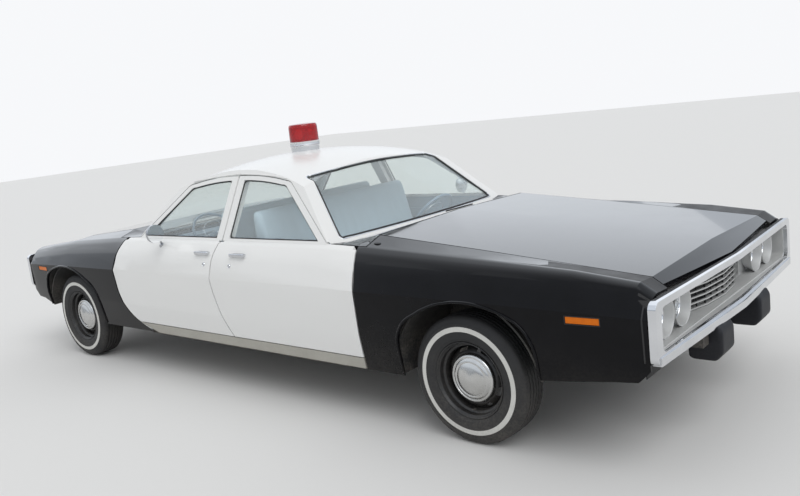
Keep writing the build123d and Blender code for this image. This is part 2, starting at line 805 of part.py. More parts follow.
def rounded_outline(half_width, foot_z, top_z, radius):
    k = radius * 0.293
    return [
        (-half_width + radius, foot_z), (half_width - radius, foot_z),
        (half_width - k, foot_z + k, half_width, foot_z + radius), (half_width, top_z - radius),
        (half_width - k, top_z - k, half_width - radius, top_z), (-half_width + radius, top_z),
        (-half_width + k, top_z - k, -half_width, top_z - radius), (-half_width, foot_z + radius),
        (-half_width + k, foot_z + k, -half_width + radius, foot_z),
    ]


def loop_bumper(end):
    w = LOOP_HALF_WIDTH
    ring = cross_prism(rounded_outline(w, LOOP_FOOT_Z, LOOP_TOP_Z, LOOP_CORNER_R),
                       end * (BODY_END - 90), end * (BODY_END + 110))
    hole = cross_prism(
        rounded_outline(w - LOOP_BAR_SIDE, LOOP_FOOT_Z + LOOP_BAR_FOOT,
                        LOOP_TOP_Z - LOOP_BAR_TOP, LOOP_CORNER_R),
        end * (BODY_END - 100), end * (BODY_END + 120),
    )
    plan = at_end([(LOOP_BACK_X, -w), (LOOP_SIDE_X, -w), (LOOP_APEX_X, 0), (LOOP_SIDE_X, w),
                   (LOOP_BACK_X, w), (LOOP_APEX_X - 32, 0)], end)
    shape = one(one(ring - hole) & plan_prism(plan, 400, 900))
    lip_plan = at_end([(LOOP_BACK_X, -w + 20), (LOOP_SIDE_X + 6, -w + 20), (LOOP_LIP_X, 0),
                       (LOOP_SIDE_X + 6, w - 20), (LOOP_BACK_X, w - 20), (LOOP_APEX_X - 32, 0)],
                      end)
    shape = one(shape + plan_prism(lip_plan, LOOP_FOOT_Z, LOOP_FOOT_Z + LOOP_BAR_FOOT - 10))
    for side in (1, -1):
        arm = block(end * RAIL_END_X, end * (LOOP_APEX_X - 36), side * RAIL_INNER_Y,
                    side * RAIL_OUTER_Y, 448, LOOP_FOOT_Z + 8)
        shape = one(shape + arm)
    return shape


LOOPS = {end: loop_bumper(end) for end in (1, -1)}
write("front_loop_bumper", LOOPS[1])
write("back_loop_bumper", LOOPS[-1])


# Rubber guards on the loop's foot

def guard(end, side):
    x, foot, top = GUARD_REACH, GUARD_FOOT_Z, GUARD_TOP_Z
    points = at_end([
        (x - GUARD_DEPTH, foot + 12), (x - GUARD_DEPTH + 20, foot), (x - 34, foot),
        (x, foot + 40), (x, top - 34), (x - 18, top), (x - GUARD_DEPTH, top),
    ], end)
    near, far = sorted((side * (GUARD_Y - GUARD_HALF), side * (GUARD_Y + GUARD_HALF)))
    shape = side_prism(points, near, far)
    return one(shape - LOOPS[end])


write("bumper_guards", *[guard(end, side) for end in (1, -1) for side in (1, -1)])


# Grille: a tray behind the loop, with lamp holes, and bowed bars in its middle

LAMP_Z = (LOOP_FOOT_Z + LOOP_BAR_FOOT + LOOP_TOP_Z - LOOP_BAR_TOP) / 2
TRAY_FOOT_Z = LOOP_FOOT_Z + LOOP_BAR_FOOT
TRAY_TOP_Z = LOOP_TOP_Z - LOOP_BAR_TOP
TRAY_HALF_WIDTH = LOOP_HALF_WIDTH - LOOP_BAR_SIDE
TRAY_LIP_X = BODY_END - 18


def lamp_places():
    return [side * y for y in LAMP_YS for side in (1, -1)]


def grille_tray(end):
    w = TRAY_HALF_WIDTH
    outer = cross_prism(
        rounded_outline(w - FIT, TRAY_FOOT_Z + FIT, TRAY_TOP_Z - FIT, LOOP_CORNER_R),
        end * (PANEL_X - PANEL_SKIN), end * TRAY_LIP_X,
    )
    inner = cross_prism(
        rounded_outline(w - 6, TRAY_FOOT_Z + 6, TRAY_TOP_Z - 6, LOOP_CORNER_R - 6),
        end * PANEL_X, end * (BODY_END + 110),
    )
    shape = one(outer - inner)
    opening = block(end * (PANEL_X - 80), end * (BODY_END + 10), -GRILLE_HALF_WIDTH, GRILLE_HALF_WIDTH,
                    TRAY_FOOT_Z + 10, TRAY_TOP_Z - 16)
    shape = one(shape - opening)
    for y in lamp_places():
        place = Plane(origin=(end * (PANEL_X - 80), y, LAMP_Z), z_dir=(end, 0, 0))
        shape = one(shape - Solid.make_cylinder(LAMP_R + FIT, 200, place))
    return shape


def bowed(end, back_x, front_x, lip):
    """Outline in plan of the grille's bars, bowed forward in four straight runs."""
    w = GRILLE_HALF_WIDTH - 1
    bow = ((-1, 0), (-0.5, 0.75), (0, 1), (0.5, 0.75), (1, 0))
    rise = front_x - back_x - lip
    front = [(end * (back_x + lip + rise * v), w * u) for u, v in bow]
    rear = [(end * (back_x + (rise - 10) * v), w * u) for u, v in reversed(bow)]
    return front + rear


def grille_bars(end):
    w = GRILLE_HALF_WIDTH - 1
    back_x = PANEL_X - PANEL_SKIN
    front_x = PANEL_X + GRILLE_BOW
    low, high = TRAY_FOOT_Z + 10 + FIT, TRAY_TOP_Z - 16 - FIT
    band = plan_prism(bowed(end, back_x, front_x, 6), low, high)
    pitch = (high - low - GRILLE_BAR) / (GRILLE_BARS - 1)
    shape = None
    for i in range(GRILLE_BARS):
        z = low + i * pitch
        bar = one(band & block(end * back_x, end * BODY_END, -w, w, z, z + GRILLE_BAR))
        shape = bar if shape is None else shape + bar
    step = 2 * w / (GRILLE_POSTS + 1)
    back = plan_prism(bowed(end, back_x, front_x - 8, 1), low, high)
    places = [-w + step * (i + 1) for i in range(GRILLE_POSTS)] + [-w + 2, w - 2]
    for y in places:
        shape = shape + one(back & block(end * back_x, end * BODY_END, y - 2, y + 2, low, high))
    return one(shape)


def headlamp(end, y):
    x = end * (PANEL_X - PANEL_SKIN - 40)
    face = end * (PANEL_X + 18)
    points = [(x, 0), (x, 36), (end * (PANEL_X - PANEL_SKIN), LAMP_R), (face, LAMP_R),
              (face + end * 3, LAMP_R - 9), (face, LAMP_R - 10), (face + end * 8, 0)]
    return lathe_x(points, y, LAMP_Z)


for end, name in ((1, "front"), (-1, "back")):
    write(name + "_grille_tray", grille_tray(end))
    write(name + "_grille_bars", grille_bars(end))
    write(name + "_headlamps", *[headlamp(end, y) for y in lamp_places()])


# Roof light: base, hollow lens and the lamp that turns inside

light_base = lathe_z([(0, ROOF_Z - 30), (LIGHT_BASE_R, ROOF_Z - 30),
                      (LIGHT_BASE_R, LIGHT_BASE_TOP_Z - 8), (LIGHT_LENS_R, LIGHT_BASE_TOP_Z - 5),
                      (LIGHT_LENS_R, LIGHT_BASE_TOP_Z),
                      (0, LIGHT_BASE_TOP_Z)], LIGHT_X, 0)
light_base = one(light_base - SHELL[0])
spindle = Solid.make_cylinder(8, 40, Plane((LIGHT_X, 0, LIGHT_BASE_TOP_Z - 6)))
write("beacon_base", one(light_base + spindle))


def lens_profile(inset, foot):
    r, top = LIGHT_LENS_R - inset, LIGHT_TOP_Z - inset
    return [(0, foot), (r, foot), (r - 2, top - 36), (r - 9, top - 14), (r - 28, top - 2),
            (0, top)]


lens = lathe_z(lens_profile(2, LIGHT_BASE_TOP_Z + FIT), LIGHT_X, 0)
lens = one(lens - lathe_z(lens_profile(6, LIGHT_BASE_TOP_Z - 5), LIGHT_X, 0))
write("beacon_lens", lens)

LAMP_FOOT = LIGHT_BASE_TOP_Z + 6
turntable = lathe_z([(8 + RUN_FIT, LAMP_FOOT), (62, LAMP_FOOT), (62, LAMP_FOOT + 8),
                     (18, LAMP_FOOT + 14), (18, LAMP_FOOT + 34), (8 + RUN_FIT, LAMP_FOOT + 34)],
                    LIGHT_X, 0)
bulb = lathe_z([(0, LAMP_FOOT + 34), (18, LAMP_FOOT + 34), (44, LAMP_FOOT + 52),
                (46, LAMP_FOOT + 92), (30, LAMP_FOOT + 116), (0, LAMP_FOOT + 120)], LIGHT_X, 0)
write("beacon_lamp", one(turntable + bulb))


# Cabin: two benches back to back, two dashboards, two steering wheels

def seat(end):
    points = from_cabin([
        (210, FLOOR_Z), (640, FLOOR_Z), (660, 420), (700, 500), (690, 560), (640, 590),
        (330, 555), (215, 1090), (195, 1118), (160, 1126), (120, 1112), (112, 1080),
        (170, 560), (180, 420),
    ], end)
    shape = side_prism(points, -SEAT_HALF_WIDTH, SEAT_HALF_WIDTH)
    w = TUNNEL_HALF_WIDTH + FIT
    return one(shape - block(-1500, 1500, -w, w, 0, TUNNEL_TOP_Z + FIT))


def column_frame(end, back):
    """Plane at the steering wheel's hub, moved down the column, facing down it."""
    t = radians(COLUMN_TILT)
    down = (end * cos(t), 0, -sin(t))
    hub = (CABIN_X + end * WHEEL_REL_X, end * WHEEL_Y, WHEEL_Z)
    origin = tuple(h + back * d for h, d in zip(hub, down))
    return Plane(origin=origin, x_dir=(0, 1, 0), z_dir=down)


def dashboard(end):
    wall = BULKHEAD_X - 16
    points = from_cabin([
        (836, 640), (wall, 640), (wall, 905), (850, 914), (814, 900), (812, 880), (836, 800),
    ], end)
    shape = side_prism(points, -770, 770)
    shape = one(shape - column_hole(end))
    tube = Solid.make_cylinder(22, 310, column_frame(end, 24))
    shaft = Solid.make_cylinder(9, 60, column_frame(end, -14))
    shape = one(shape + tube + shaft)
    return one(shape & block(CABIN_X, CABIN_X + end * wall, -800, 800, 300, 1100))


def column_hole(end):
    """A shallow recess in the dashboard round the column."""
    return Solid.make_cylinder(40, 150, column_frame(end, 60))


def steering_wheel(end):
    r = WHEEL_RIM_R - 11
    frame = column_frame(end, 0)
    face = Face(path_wire([(r - 10, -6), (r, -11), (r + 10, -6), (r + 10, 6), (r, 11), (r - 10, 6)],
                          lambda p: frame.origin + frame.x_dir * p[0] + frame.z_dir * p[1]))
    rim = Solid.revolve(face, 360, Axis(frame.origin, frame.z_dir))
    hub = Solid.make_cylinder(32, 34, column_frame(end, -17))
    bar = Solid.make_box(2 * r, 34, 10, Plane(
        origin=frame.origin - frame.x_dir * r - frame.y_dir * 17 - frame.z_dir * 5,
        x_dir=frame.x_dir, z_dir=frame.z_dir,
    ))
    shape = one(rim + bar + hub)
    return one(shape - Solid.make_cylinder(9 + RUN_FIT, 60, column_frame(end, -15)))


for end, name in ((1, "front"), (-1, "back")):
    write(name + "_seat", seat(end))
    write(name + "_dashboard", dashboard(end))
    write(name + "_steering_wheel", steering_wheel(end))


# Wheels, tyres and caps

def tyre(x, side):
    mid = side * (TYRE_OUTER_Y - TYRE_W / 2)
    half = TYRE_W / 2
    points = [
        (RIM_SEAT_R, mid - 62), (RIM_R + 8, mid - 74), (256, mid - half), (TYRE_R - 14, mid - 82),
        (TYRE_R, mid - 62), (TYRE_R, mid + 62), (TYRE_R - 14, mid + 82), (256, mid + half),
        (RIM_R + 8, mid + 74), (RIM_SEAT_R, mid + 62),
    ]
    return lathe_y(points, x, TYRE_R)


def wheel(x, side):
    """Steel wheel with its round cap, from the hub hole outward. u grows to the outside."""
    mid = TYRE_OUTER_Y - TYRE_W / 2
    points = [
        (SPINDLE_R + RUN_FIT, 12), (58, 12), (120, 24), (150, 6), (RIM_SEAT_R - 6, 4),
        (RIM_SEAT_R - 6, -66), (RIM_R + 2, -82), (RIM_SEAT_R - FIT, -62), (RIM_SEAT_R - FIT, 62),
        (RIM_R + 2, 82), (RIM_SEAT_R - 6, 62), (150, 20), (CAP_R, 38), (CAP_R - 6, 54), (84, 54),
        (40, 63), (0, 70), (0, 44), (SPINDLE_R + RUN_FIT, 44),
    ]
    return lathe_y([(r, side * (mid + u)) for r, u in points], x, TYRE_R)


for end, name in ((1, "front"), (-1, "back")):
    x = FRONT_AXLE_X if end > 0 else BACK_AXLE_X
    for side, hand in ((-1, "right"), (1, "left")):
        write(name + "_" + hand + "_tyre", tyre(x, side))
        write(name + "_" + hand + "_wheel", wheel(x, side))


# Front suspension: cross-member, two arms a side with ball pins, and the steered knuckles

HUB_Y = TYRE_OUTER_Y - TYRE_W / 2


def knuckle(side):
    y = side * KINGPIN_Y
    x = FRONT_AXLE_X
    upright = block(x - 24, x + 24, y - 22, y + 22, ARM_LOW_Z + 6, ARM_HIGH_Z - 6)
    flange = lathe_y([(0, y), (70, y), (70, side * (HUB_Y + 4)), (0, side * (HUB_Y + 4))],
                     x, TYRE_R)
    spindle = lathe_y([(0, y), (SPINDLE_R, y), (SPINDLE_R, side * (HUB_Y + 40)),
                       (0, side * (HUB_Y + 40))], x, TYRE_R)
    shape = one(upright + flange + spindle)
    for z in (ARM_LOW_Z, ARM_HIGH_Z - 40):
        shape = one(shape - Solid.make_cylinder(PIN_R + RUN_FIT, 40, Plane((x, y, z))))
    return shape


def suspension():
    x = FRONT_AXLE_X
    w = RAIL_INNER_Y
    shape = block(x - 45, x + 45, -w, w, 424, 504)
    solids = [shape]
    for side in (1, -1):
        y = side * KINGPIN_Y
        low = plan_prism([(x - 120, side * 300), (x + 120, side * 300), (x + 26, y + side * 26),
                          (x - 26, y + side * 26)], ARM_LOW_Z - 22, ARM_LOW_Z)
        high = plan_prism([(x - 90, side * (RAIL_OUTER_Y + 0.3)),
                           (x + 90, side * (RAIL_OUTER_Y + 0.3)), (x + 24, y + side * 24),
                           (x - 24, y + side * 24)], ARM_HIGH_Z, ARM_HIGH_Z + 20)
        low_pin = Solid.make_cylinder(PIN_R, 36, Plane((x, y, ARM_LOW_Z - 4)))
        high_pin = Solid.make_cylinder(PIN_R, 36, Plane((x, y, ARM_HIGH_Z - 32)))
        post = block(x - 30, x + 30, side * 300, side * 340, ARM_LOW_Z - 10, 424)
        solids[0] = one(solids[0] + low + low_pin + post)
        solids.append(one(high + high_pin))
    return solids


write("front_suspension", *suspension())
write("front_right_knuckle", knuckle(-1))
write("front_left_knuckle", knuckle(1))


# Back axle on two leaf springs

def back_axle():
    x = BACK_AXLE_X
    reach = HUB_Y + 40
    tube = lathe_y([(0, -reach), (SPINDLE_R, -reach), (SPINDLE_R, -HUB_Y - 4), (66, -HUB_Y - 4),
                    (66, -HUB_Y + 40), (40, -HUB_Y + 40), (40, HUB_Y - 40), (66, HUB_Y - 40),
                    (66, HUB_Y + 4), (SPINDLE_R, HUB_Y + 4), (SPINDLE_R, reach), (0, reach)],
                   x, TYRE_R)
    ball = lathe_y([(0, -110), (70, -100), (122, -36), (122, 36), (70, 100), (0, 110)], x, TYRE_R)
    nose = lathe_x([(x, 0), (x, 80), (x + 150, 46), (x + 170, 46), (x + 170, 0)], 0, TYRE_R)
    shape = one(tube + ball + nose)
    for side in (1, -1):
        y0, y1 = side * 382, side * 438
        leaf = side_prism([
            (x + 410, 330), (x + 410, 348), (x, 280, x - 440, 372), (x - 440, 354),
            (x, 262, x + 410, 330),
        ], y0, y1)
        pad = block(x - 50, x + 50, y0, y1, 256, 300)
        front_hanger = block(x + 380, x + 415, y0, y1, 320, 432)
        back_hanger = block(x - 450, x - 415, y0, y1, 345, 432)
        shape = one(shape + leaf + pad + front_hanger + back_hanger)
    return shape


write("back_axle", back_axle())


# Engine with gearbox, drive shaft, radiator and exhaust

def engine():
    x0, x1 = 1150, FRONT_AXLE_X + 30
    core = cross_prism([(-130, 505), (130, 505), (270, 640), (270, 700), (180, 800),
                        (-180, 800), (-270, 700), (-270, 640)], x0, x1)
    pan = block(x0 + 60, FRONT_AXLE_X - 160, -120, 120, 350, 505)
    cleaner = lathe_z([(0, 800), (170, 800), (170, 862), (60, 872), (0, 872)], 1440, 0)
    case = lathe_x([(x0, 0), (x0, 150), (960, 90), (780, 84), (620, 52), (600, 52), (600, 0)],
                   0, 330)
    bell = block(x0 - 40, x0 + 80, -120, 120, 300, 620)
    return one(one(core + pan + cleaner) + case + bell)


def exhaust():
    y = -300
    log = block(1220, 1640, y - 22, -270, 650, 690)
    down = Solid.make_cylinder(19, 440, Plane((1250, y, 222)))
    pipe = lathe_x([(1272, 0), (1272, 22), (-2380, 22), (-2380, 0)], y, 222)
    muffler = block(-1050, -500, y - 60, y + 60, 176, 256)
    strap = block(-800, -780, y - 10, y + 10, 250, FLOOR_Z - FLOOR_SKIN)
    return one(one(pipe + down) + log + muffler + strap)


write("engine", engine())
write("exhaust", exhaust())
write("drive_shaft", lathe_x([
    (600, 0), (600, 52), (590, 52), (570, 36), (BACK_AXLE_X + 200, 36), (BACK_AXLE_X + 182, 44),
    (BACK_AXLE_X + 170, 44), (BACK_AXLE_X + 170, 0),
], 0, TYRE_R))
write("radiator", one(
    block(2330, 2390, -330, 330, 470, 790)
    + block(2350, 2370, -RAIL_INNER_Y, RAIL_INNER_Y, 440, 505)
))
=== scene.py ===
import json
import math

import bmesh
import bpy
from mathutils import Matrix, Vector
from mathutils.bvhtree import BVHTree

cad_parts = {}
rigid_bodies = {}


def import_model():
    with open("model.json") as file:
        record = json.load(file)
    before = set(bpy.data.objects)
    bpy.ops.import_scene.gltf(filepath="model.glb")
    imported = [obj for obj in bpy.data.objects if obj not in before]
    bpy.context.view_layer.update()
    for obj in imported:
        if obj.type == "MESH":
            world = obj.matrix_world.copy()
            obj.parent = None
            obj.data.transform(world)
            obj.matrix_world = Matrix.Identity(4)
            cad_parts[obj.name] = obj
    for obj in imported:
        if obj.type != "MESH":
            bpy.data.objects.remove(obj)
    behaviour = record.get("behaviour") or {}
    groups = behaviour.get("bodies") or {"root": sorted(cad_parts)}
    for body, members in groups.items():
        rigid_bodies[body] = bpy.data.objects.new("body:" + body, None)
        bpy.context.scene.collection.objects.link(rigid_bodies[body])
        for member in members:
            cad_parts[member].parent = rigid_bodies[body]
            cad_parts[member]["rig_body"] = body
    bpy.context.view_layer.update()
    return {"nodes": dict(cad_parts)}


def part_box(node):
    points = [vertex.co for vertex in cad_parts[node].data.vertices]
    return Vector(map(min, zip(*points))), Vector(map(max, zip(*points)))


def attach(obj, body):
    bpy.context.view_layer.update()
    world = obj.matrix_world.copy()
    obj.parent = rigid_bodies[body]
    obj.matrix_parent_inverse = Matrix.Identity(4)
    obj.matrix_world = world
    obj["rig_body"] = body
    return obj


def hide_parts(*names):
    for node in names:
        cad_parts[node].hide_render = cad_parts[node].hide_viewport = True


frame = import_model()


# Camera: it stands off the right front corner, about as high as the top of the roof light,
# and is held with a small roll. The roll is the camera's own, and the car stands level.
VIEW_POINT = Vector((3.9337, -3.8236, 1.6625))
VIEW_TURN = math.radians(131.263)
VIEW_DIP = math.radians(9.833)
VIEW_ROLL = math.radians(-6.638)
PHOTO_WIDTH = 800
FOCAL_PIXELS = 793.2
PIXELS_RIGHT = 1.547
PIXELS_DOWN = 5.131
FILM = 36
FAR_CLIP = 200
ahead = Vector((
    math.cos(VIEW_TURN) * math.cos(VIEW_DIP),
    math.sin(VIEW_TURN) * math.cos(VIEW_DIP),
    -math.sin(VIEW_DIP),
))
level = ahead.cross(Vector((0, 0, 1))).normalized()
over = level.cross(ahead)
across = level * math.cos(VIEW_ROLL) + over * math.sin(VIEW_ROLL)
upward = over * math.cos(VIEW_ROLL) - level * math.sin(VIEW_ROLL)
lens = bpy.data.cameras.new("camera")
lens.sensor_width = FILM
lens.lens = FOCAL_PIXELS * FILM / PHOTO_WIDTH
lens.shift_x = PIXELS_RIGHT / PHOTO_WIDTH
lens.shift_y = -PIXELS_DOWN / PHOTO_WIDTH
lens.clip_end = FAR_CLIP
camera = bpy.data.objects.new("camera", lens)
camera.matrix_world = Matrix.Translation(VIEW_POINT) @ Matrix(
    (across, upward, -ahead)
).transposed().to_4x4()
bpy.context.scene.collection.objects.link(camera)
bpy.context.scene.camera = camera


# Floor: the plain pale ground of a studio, one large dull sheet. It takes the car's shadow and
# rides on no body of the car.
FLOOR_HALF = 40


def add(tree, kind, *sources, **settings):
    """One shader node, with its properties and then its inputs set in order."""
    step = tree.nodes.new("ShaderNode" + kind)
    for key, value in settings.items():
        setattr(step, key, value)
    for place, source in enumerate(sources):
        if source is None:
            continue
        if isinstance(source, bpy.types.NodeSocket):
            tree.links.new(source, step.inputs[place])
        else:
            step.inputs[place].default_value = source
    return step


def surface(name, colour=(0.5, 0.5, 0.5), roughness=0.5, **sockets):
    """A material whose shader has these values, its tree and that shader."""
    material = bpy.data.materials.new(name)
    material.use_nodes = True
    tree = material.node_tree
    shader = tree.nodes["Principled BSDF"]
    shader.inputs["Base Color"].default_value = (*colour, 1)
    shader.inputs["Roughness"].default_value = roughness
    for key, value in sockets.items():
        label = key.replace("_", " ").title().replace("Ior", "IOR")
        shader.inputs[label].default_value = value
    return material, tree, shader


def stow(mesh, name, *materials):
    """Close a bmesh and make it an object of the scene."""
    data = bpy.data.meshes.new(name)
    mesh.to_mesh(data)
    mesh.free()
    for material in materials:
        data.materials.append(material)
    piece = bpy.data.objects.new(name, data)
    bpy.context.scene.collection.objects.link(piece)
    return piece


ground, tree, shader = surface("studio_floor", (0.76, 0.76, 0.75), 0.9)
mesh = bmesh.new()
bmesh.ops.create_grid(mesh, x_segments=1, y_segments=1, size=FLOOR_HALF)
floor = stow(mesh, "floor", ground)


# Studio light: an even pale world, a wide soft key from the front right and a weaker fill.
# What the paint mirrors is bluer than what the camera sees, and darker near the horizon.
SKY = (0.93, 0.94, 0.96)
SKY_IN_GLOSS = (0.84, 0.90, 0.98)
SKY_ON_OBJECT = 0.62
HORIZON_IN_GLOSS = 0.38
FULL_SKY_FROM = 0.24


def ramp(tree, source, low, high, start, end):
    """A value that goes from start to end while its source goes from low to high."""
    return add(tree, "MapRange", source, low, high, start, end).outputs[0]


def reckon(tree, operation, one, other, **settings):
    """Two values joined by an arithmetic step."""
    return add(tree, "Math", one, other, operation=operation, **settings).outputs[0]


def blend(tree, share, first, second, kind="MIX"):
    """Two colours mixed, each of them a colour or a socket."""
    step = add(tree, "Mix", share, data_type="RGBA", blend_type=kind)
    for socket, source in ((step.inputs[6], first), (step.inputs[7], second)):
        if isinstance(source, bpy.types.NodeSocket):
            tree.links.new(source, socket)
        else:
            socket.default_value = (*source, 1)
    return step.outputs[2]


world = bpy.data.worlds.new("studio")
bpy.context.scene.world = world
world.use_nodes = True
tree = world.node_tree
back = tree.nodes["Background"]
rays = tree.nodes.new("ShaderNodeLightPath")
in_gloss = rays.outputs["Is Glossy Ray"]
tree.links.new(blend(tree, in_gloss, SKY, SKY_IN_GLOSS), back.inputs["Color"])
rise = add(tree, "SeparateXYZ", add(tree, "TexCoord").outputs["Generated"]).outputs["Z"]
dome = ramp(tree, rise, 0.0, FULL_SKY_FROM, HORIZON_IN_GLOSS, 1.0)
plain = ramp(tree, in_gloss, 0.0, 1.0, 1.0, dome)
direct = reckon(tree, "MAXIMUM", rays.outputs["Is Camera Ray"],
                rays.outputs["Is Transmission Ray"])
seen = reckon(tree, "MAXIMUM", direct, in_gloss)
tree.links.new(ramp(tree, seen, 0.0, 1.0, SKY_ON_OBJECT, plain), back.inputs["Strength"])
for name, energy, spread, turn in (
    ("key", 1.2, 45, (40, 8, 58)),
    ("fill", 0.45, 90, (55, 0, -120)),
):
    lamp = bpy.data.lights.new(name, "SUN")
    lamp.energy = energy
    lamp.angle = math.radians(spread)
    holder = bpy.data.objects.new(name, lamp)
    holder.rotation_euler = [math.radians(v) for v in turn]
    bpy.context.scene.collection.objects.link(holder)
bpy.context.scene.view_settings.view_transform = "Standard"


# Road film: the fine dirt that wet gravel throws up on every outer finish. It is patchy and
# speckled, thickest near the ground, and gone above the height that each finish names.
FILM_FULL_AT = 0.1


def group_of(name, values, results):
    """An empty node group with float inputs and float outputs."""
    group = bpy.data.node_groups.new(name, "ShaderNodeTree")
    for key, start in values.items():
        socket = group.interface.new_socket(key, in_out="INPUT", socket_type="NodeSocketFloat")
        socket.default_value = start
    for key in results:
        group.interface.new_socket(key, in_out="OUTPUT", socket_type="NodeSocketFloat")
    return group, group.nodes.new("NodeGroupInput"), group.nodes.new("NodeGroupOutput")


def mottle(tree, scale, detail=2.0, rough=0.5):
    """Cloudy noise that lies still on the piece, as a value."""
    where = add(tree, "TexCoord").outputs["Object"]
    return add(tree, "TexNoise", where, None, scale, detail, rough).outputs[0]


road_film, inlet, outlet = group_of("road_film", {"Top": 0.8, "Amount": 0.5}, ["Mask"])
place = add(road_film, "SeparateXYZ", add(road_film, "TexCoord").outputs["Object"])
low = ramp(road_film, place.outputs["Z"], inlet.outputs["Top"], FILM_FULL_AT, 0.0, 1.0)
cloud = mottle(road_film, 5.0, 8.0, 0.6)
speck = mottle(road_film, 90.0, 4.0, 0.7)
patchy = ramp(road_film, reckon(road_film, "MULTIPLY", cloud, speck), 0.16, 0.42, 0.0, 1.0)
mask = reckon(road_film, "MULTIPLY", reckon(road_film, "MULTIPLY", low, patchy),
              inlet.outputs["Amount"], use_clamp=True)
road_film.links.new(mask, outlet.inputs["Mask"])


# Grain: the fine pebble of moulded rubber, sprayed paint, castings and vinyl, with a slow
# change of tone over a hand's breadth that keeps wide panels from looking printed.
DUST = (0.30, 0.27, 0.23)
DUST_ROUGHNESS = 0.85
BUMP_DEPTH = 0.001
grain, inlet, outlet = group_of("grain", {"Scale": 300.0, "Pebble": 0.5}, ["Height", "Tone"])
where = add(grain, "TexCoord").outputs["Object"]
cells = add(grain, "TexVoronoi", where, None, inlet.outputs["Scale"]).outputs[0]
fine = mottle(grain, inlet.outputs["Scale"], 4.0, 0.6)
mixed = add(grain, "Mix", inlet.outputs["Pebble"], None, fine, cells)
grain.links.new(mixed.outputs[0], outlet.inputs["Height"])
grain.links.new(mottle(grain, 7.0, 5.0, 0.6), outlet.inputs["Tone"])


def emboss(tree, shader, height, strength):
    """Let a value show as relief on the finish."""
    relief = add(tree, "Bump", strength, BUMP_DEPTH)
    tree.links.new(height, relief.inputs["Height"])
    tree.links.new(relief.outputs[0], shader.inputs["Normal"])


def aged(name, colour, roughness, dull, film=(0.8, 0.4), pebble=(300.0, 0.0), bump=0.02,
         tone=0.06, **sockets):
    """A finish with uneven gloss, fine grain and road film; dull is its roughest gloss.

    film is the height that the dirt reaches and its amount; pebble is the grain's scale and
    its share of cells."""
    material, tree, shader = surface(name, colour, roughness, **sockets)
    dirt = add(tree, "Group", *film, node_tree=road_film).outputs["Mask"]
    skin = add(tree, "Group", *pebble, node_tree=grain)
    shade = ramp(tree, skin.outputs["Tone"], 0.3, 0.7, 1 - tone, 1 + tone)
    base = blend(tree, 1.0, colour, shade, "MULTIPLY")
    tree.links.new(blend(tree, dirt, base, DUST), shader.inputs["Base Color"])
    gloss = ramp(tree, skin.outputs["Tone"], 0.35, 0.7, roughness, dull)
    rough = ramp(tree, dirt, 0.0, 1.0, gloss, DUST_ROUGHNESS)
    tree.links.new(rough, shader.inputs["Roughness"])
    emboss(tree, shader, skin.outputs["Height"], bump)
    return material


# Front and back hoods: pressed steel skins with a long ridge on each side, sprayed gloss
# black outside and left in dull primer below. The clear coat shines most where it is seen
# edge on, and least on the upright sides.
CREASE = math.radians(24)
EASE = math.radians(50)
COPLANAR = math.radians(0.4)
MERGE = 0.00002
black_paint = aged("black_paint", (0.005, 0.005, 0.0062), 0.07, 0.16, film=(0.6, 0.12),
                   bump=0.004, tone=0.2, specular_ior_level=0.14, coat_roughness=0.04)
tree = black_paint.node_tree
shader = tree.nodes["Principled BSDF"]
edge_on = tree.nodes.new("ShaderNodeLayerWeight").outputs["Facing"]
lacquer = ramp(tree, edge_on, 0.24, 0.64, 0.0, 0.9)
lie = add(tree, "SeparateXYZ", add(tree, "TexCoord").outputs["Normal"]).outputs["Z"]
upturned = ramp(tree, lie, 0.02, 0.30, 0.12, 1.0)
tree.links.new(reckon(tree, "MULTIPLY", lacquer, upturned), shader.inputs["Coat Weight"])
black_steel = aged("black_steel", (0.022, 0.022, 0.023), 0.42, 0.6, film=(0.9, 0.8),
                   pebble=(220.0, 0.3), bump=0.06)


def merged(node):
    """A bmesh of a CAD node, with its loose triangles joined."""
    mesh = bmesh.new()
    mesh.from_mesh(frame["nodes"][node].data)
    bmesh.ops.remove_doubles(mesh, verts=mesh.verts, dist=MERGE)
    return mesh


def pressed(node, slot, *finishes, ease=0.0016, inside=None):
    """A CAD piece as a pressing: merged, smooth between its creases, with eased edges.

    inside is a test on a face's middle and normal that gives it the second finish."""
    mesh = merged(node)
    bmesh.ops.dissolve_limit(mesh, angle_limit=COPLANAR, verts=mesh.verts, edges=mesh.edges)
    for face in mesh.faces:
        face.smooth = True
        face.material_index = 0
        if inside and inside(face.calc_center_median(), face.normal):
            face.material_index = 1
    for edge in mesh.edges:
        edge.smooth = edge.calc_face_angle(math.pi) < CREASE
    piece = stow(mesh, node + "_skin", *finishes)
    if ease:
        edges = piece.modifiers.new("ease", "BEVEL")
        edges.width = ease
        edges.segments = 2
        edges.limit_method = "ANGLE"
        edges.angle_limit = EASE
        edges.harden_normals = True
    flats = piece.modifiers.new("flats", "WEIGHTED_NORMAL")
    flats.keep_sharp = True
    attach(piece, frame["nodes"][node]["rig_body"])
    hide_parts(node)
    return piece


for node in ("front_hood", "back_hood"):
    pressed(node, "black_paint", black_paint, black_steel,
            inside=lambda middle, normal: normal.z < -0.5)


# Cowls and fenders: the fixed strips between hood and windscreen, and the four bolted-on
# fenders, all steel in the hoods' gloss black. Their inner faces are dull primer.
INNER_SKIN_Y = 0.72
for node in ("cowls", "front_fenders", "back_fenders"):
    pressed(node, "black_paint", black_paint, black_steel,
            inside=lambda middle, normal: normal.y * middle.y < -0.02
            and abs(middle.y) > INNER_SKIN_Y)


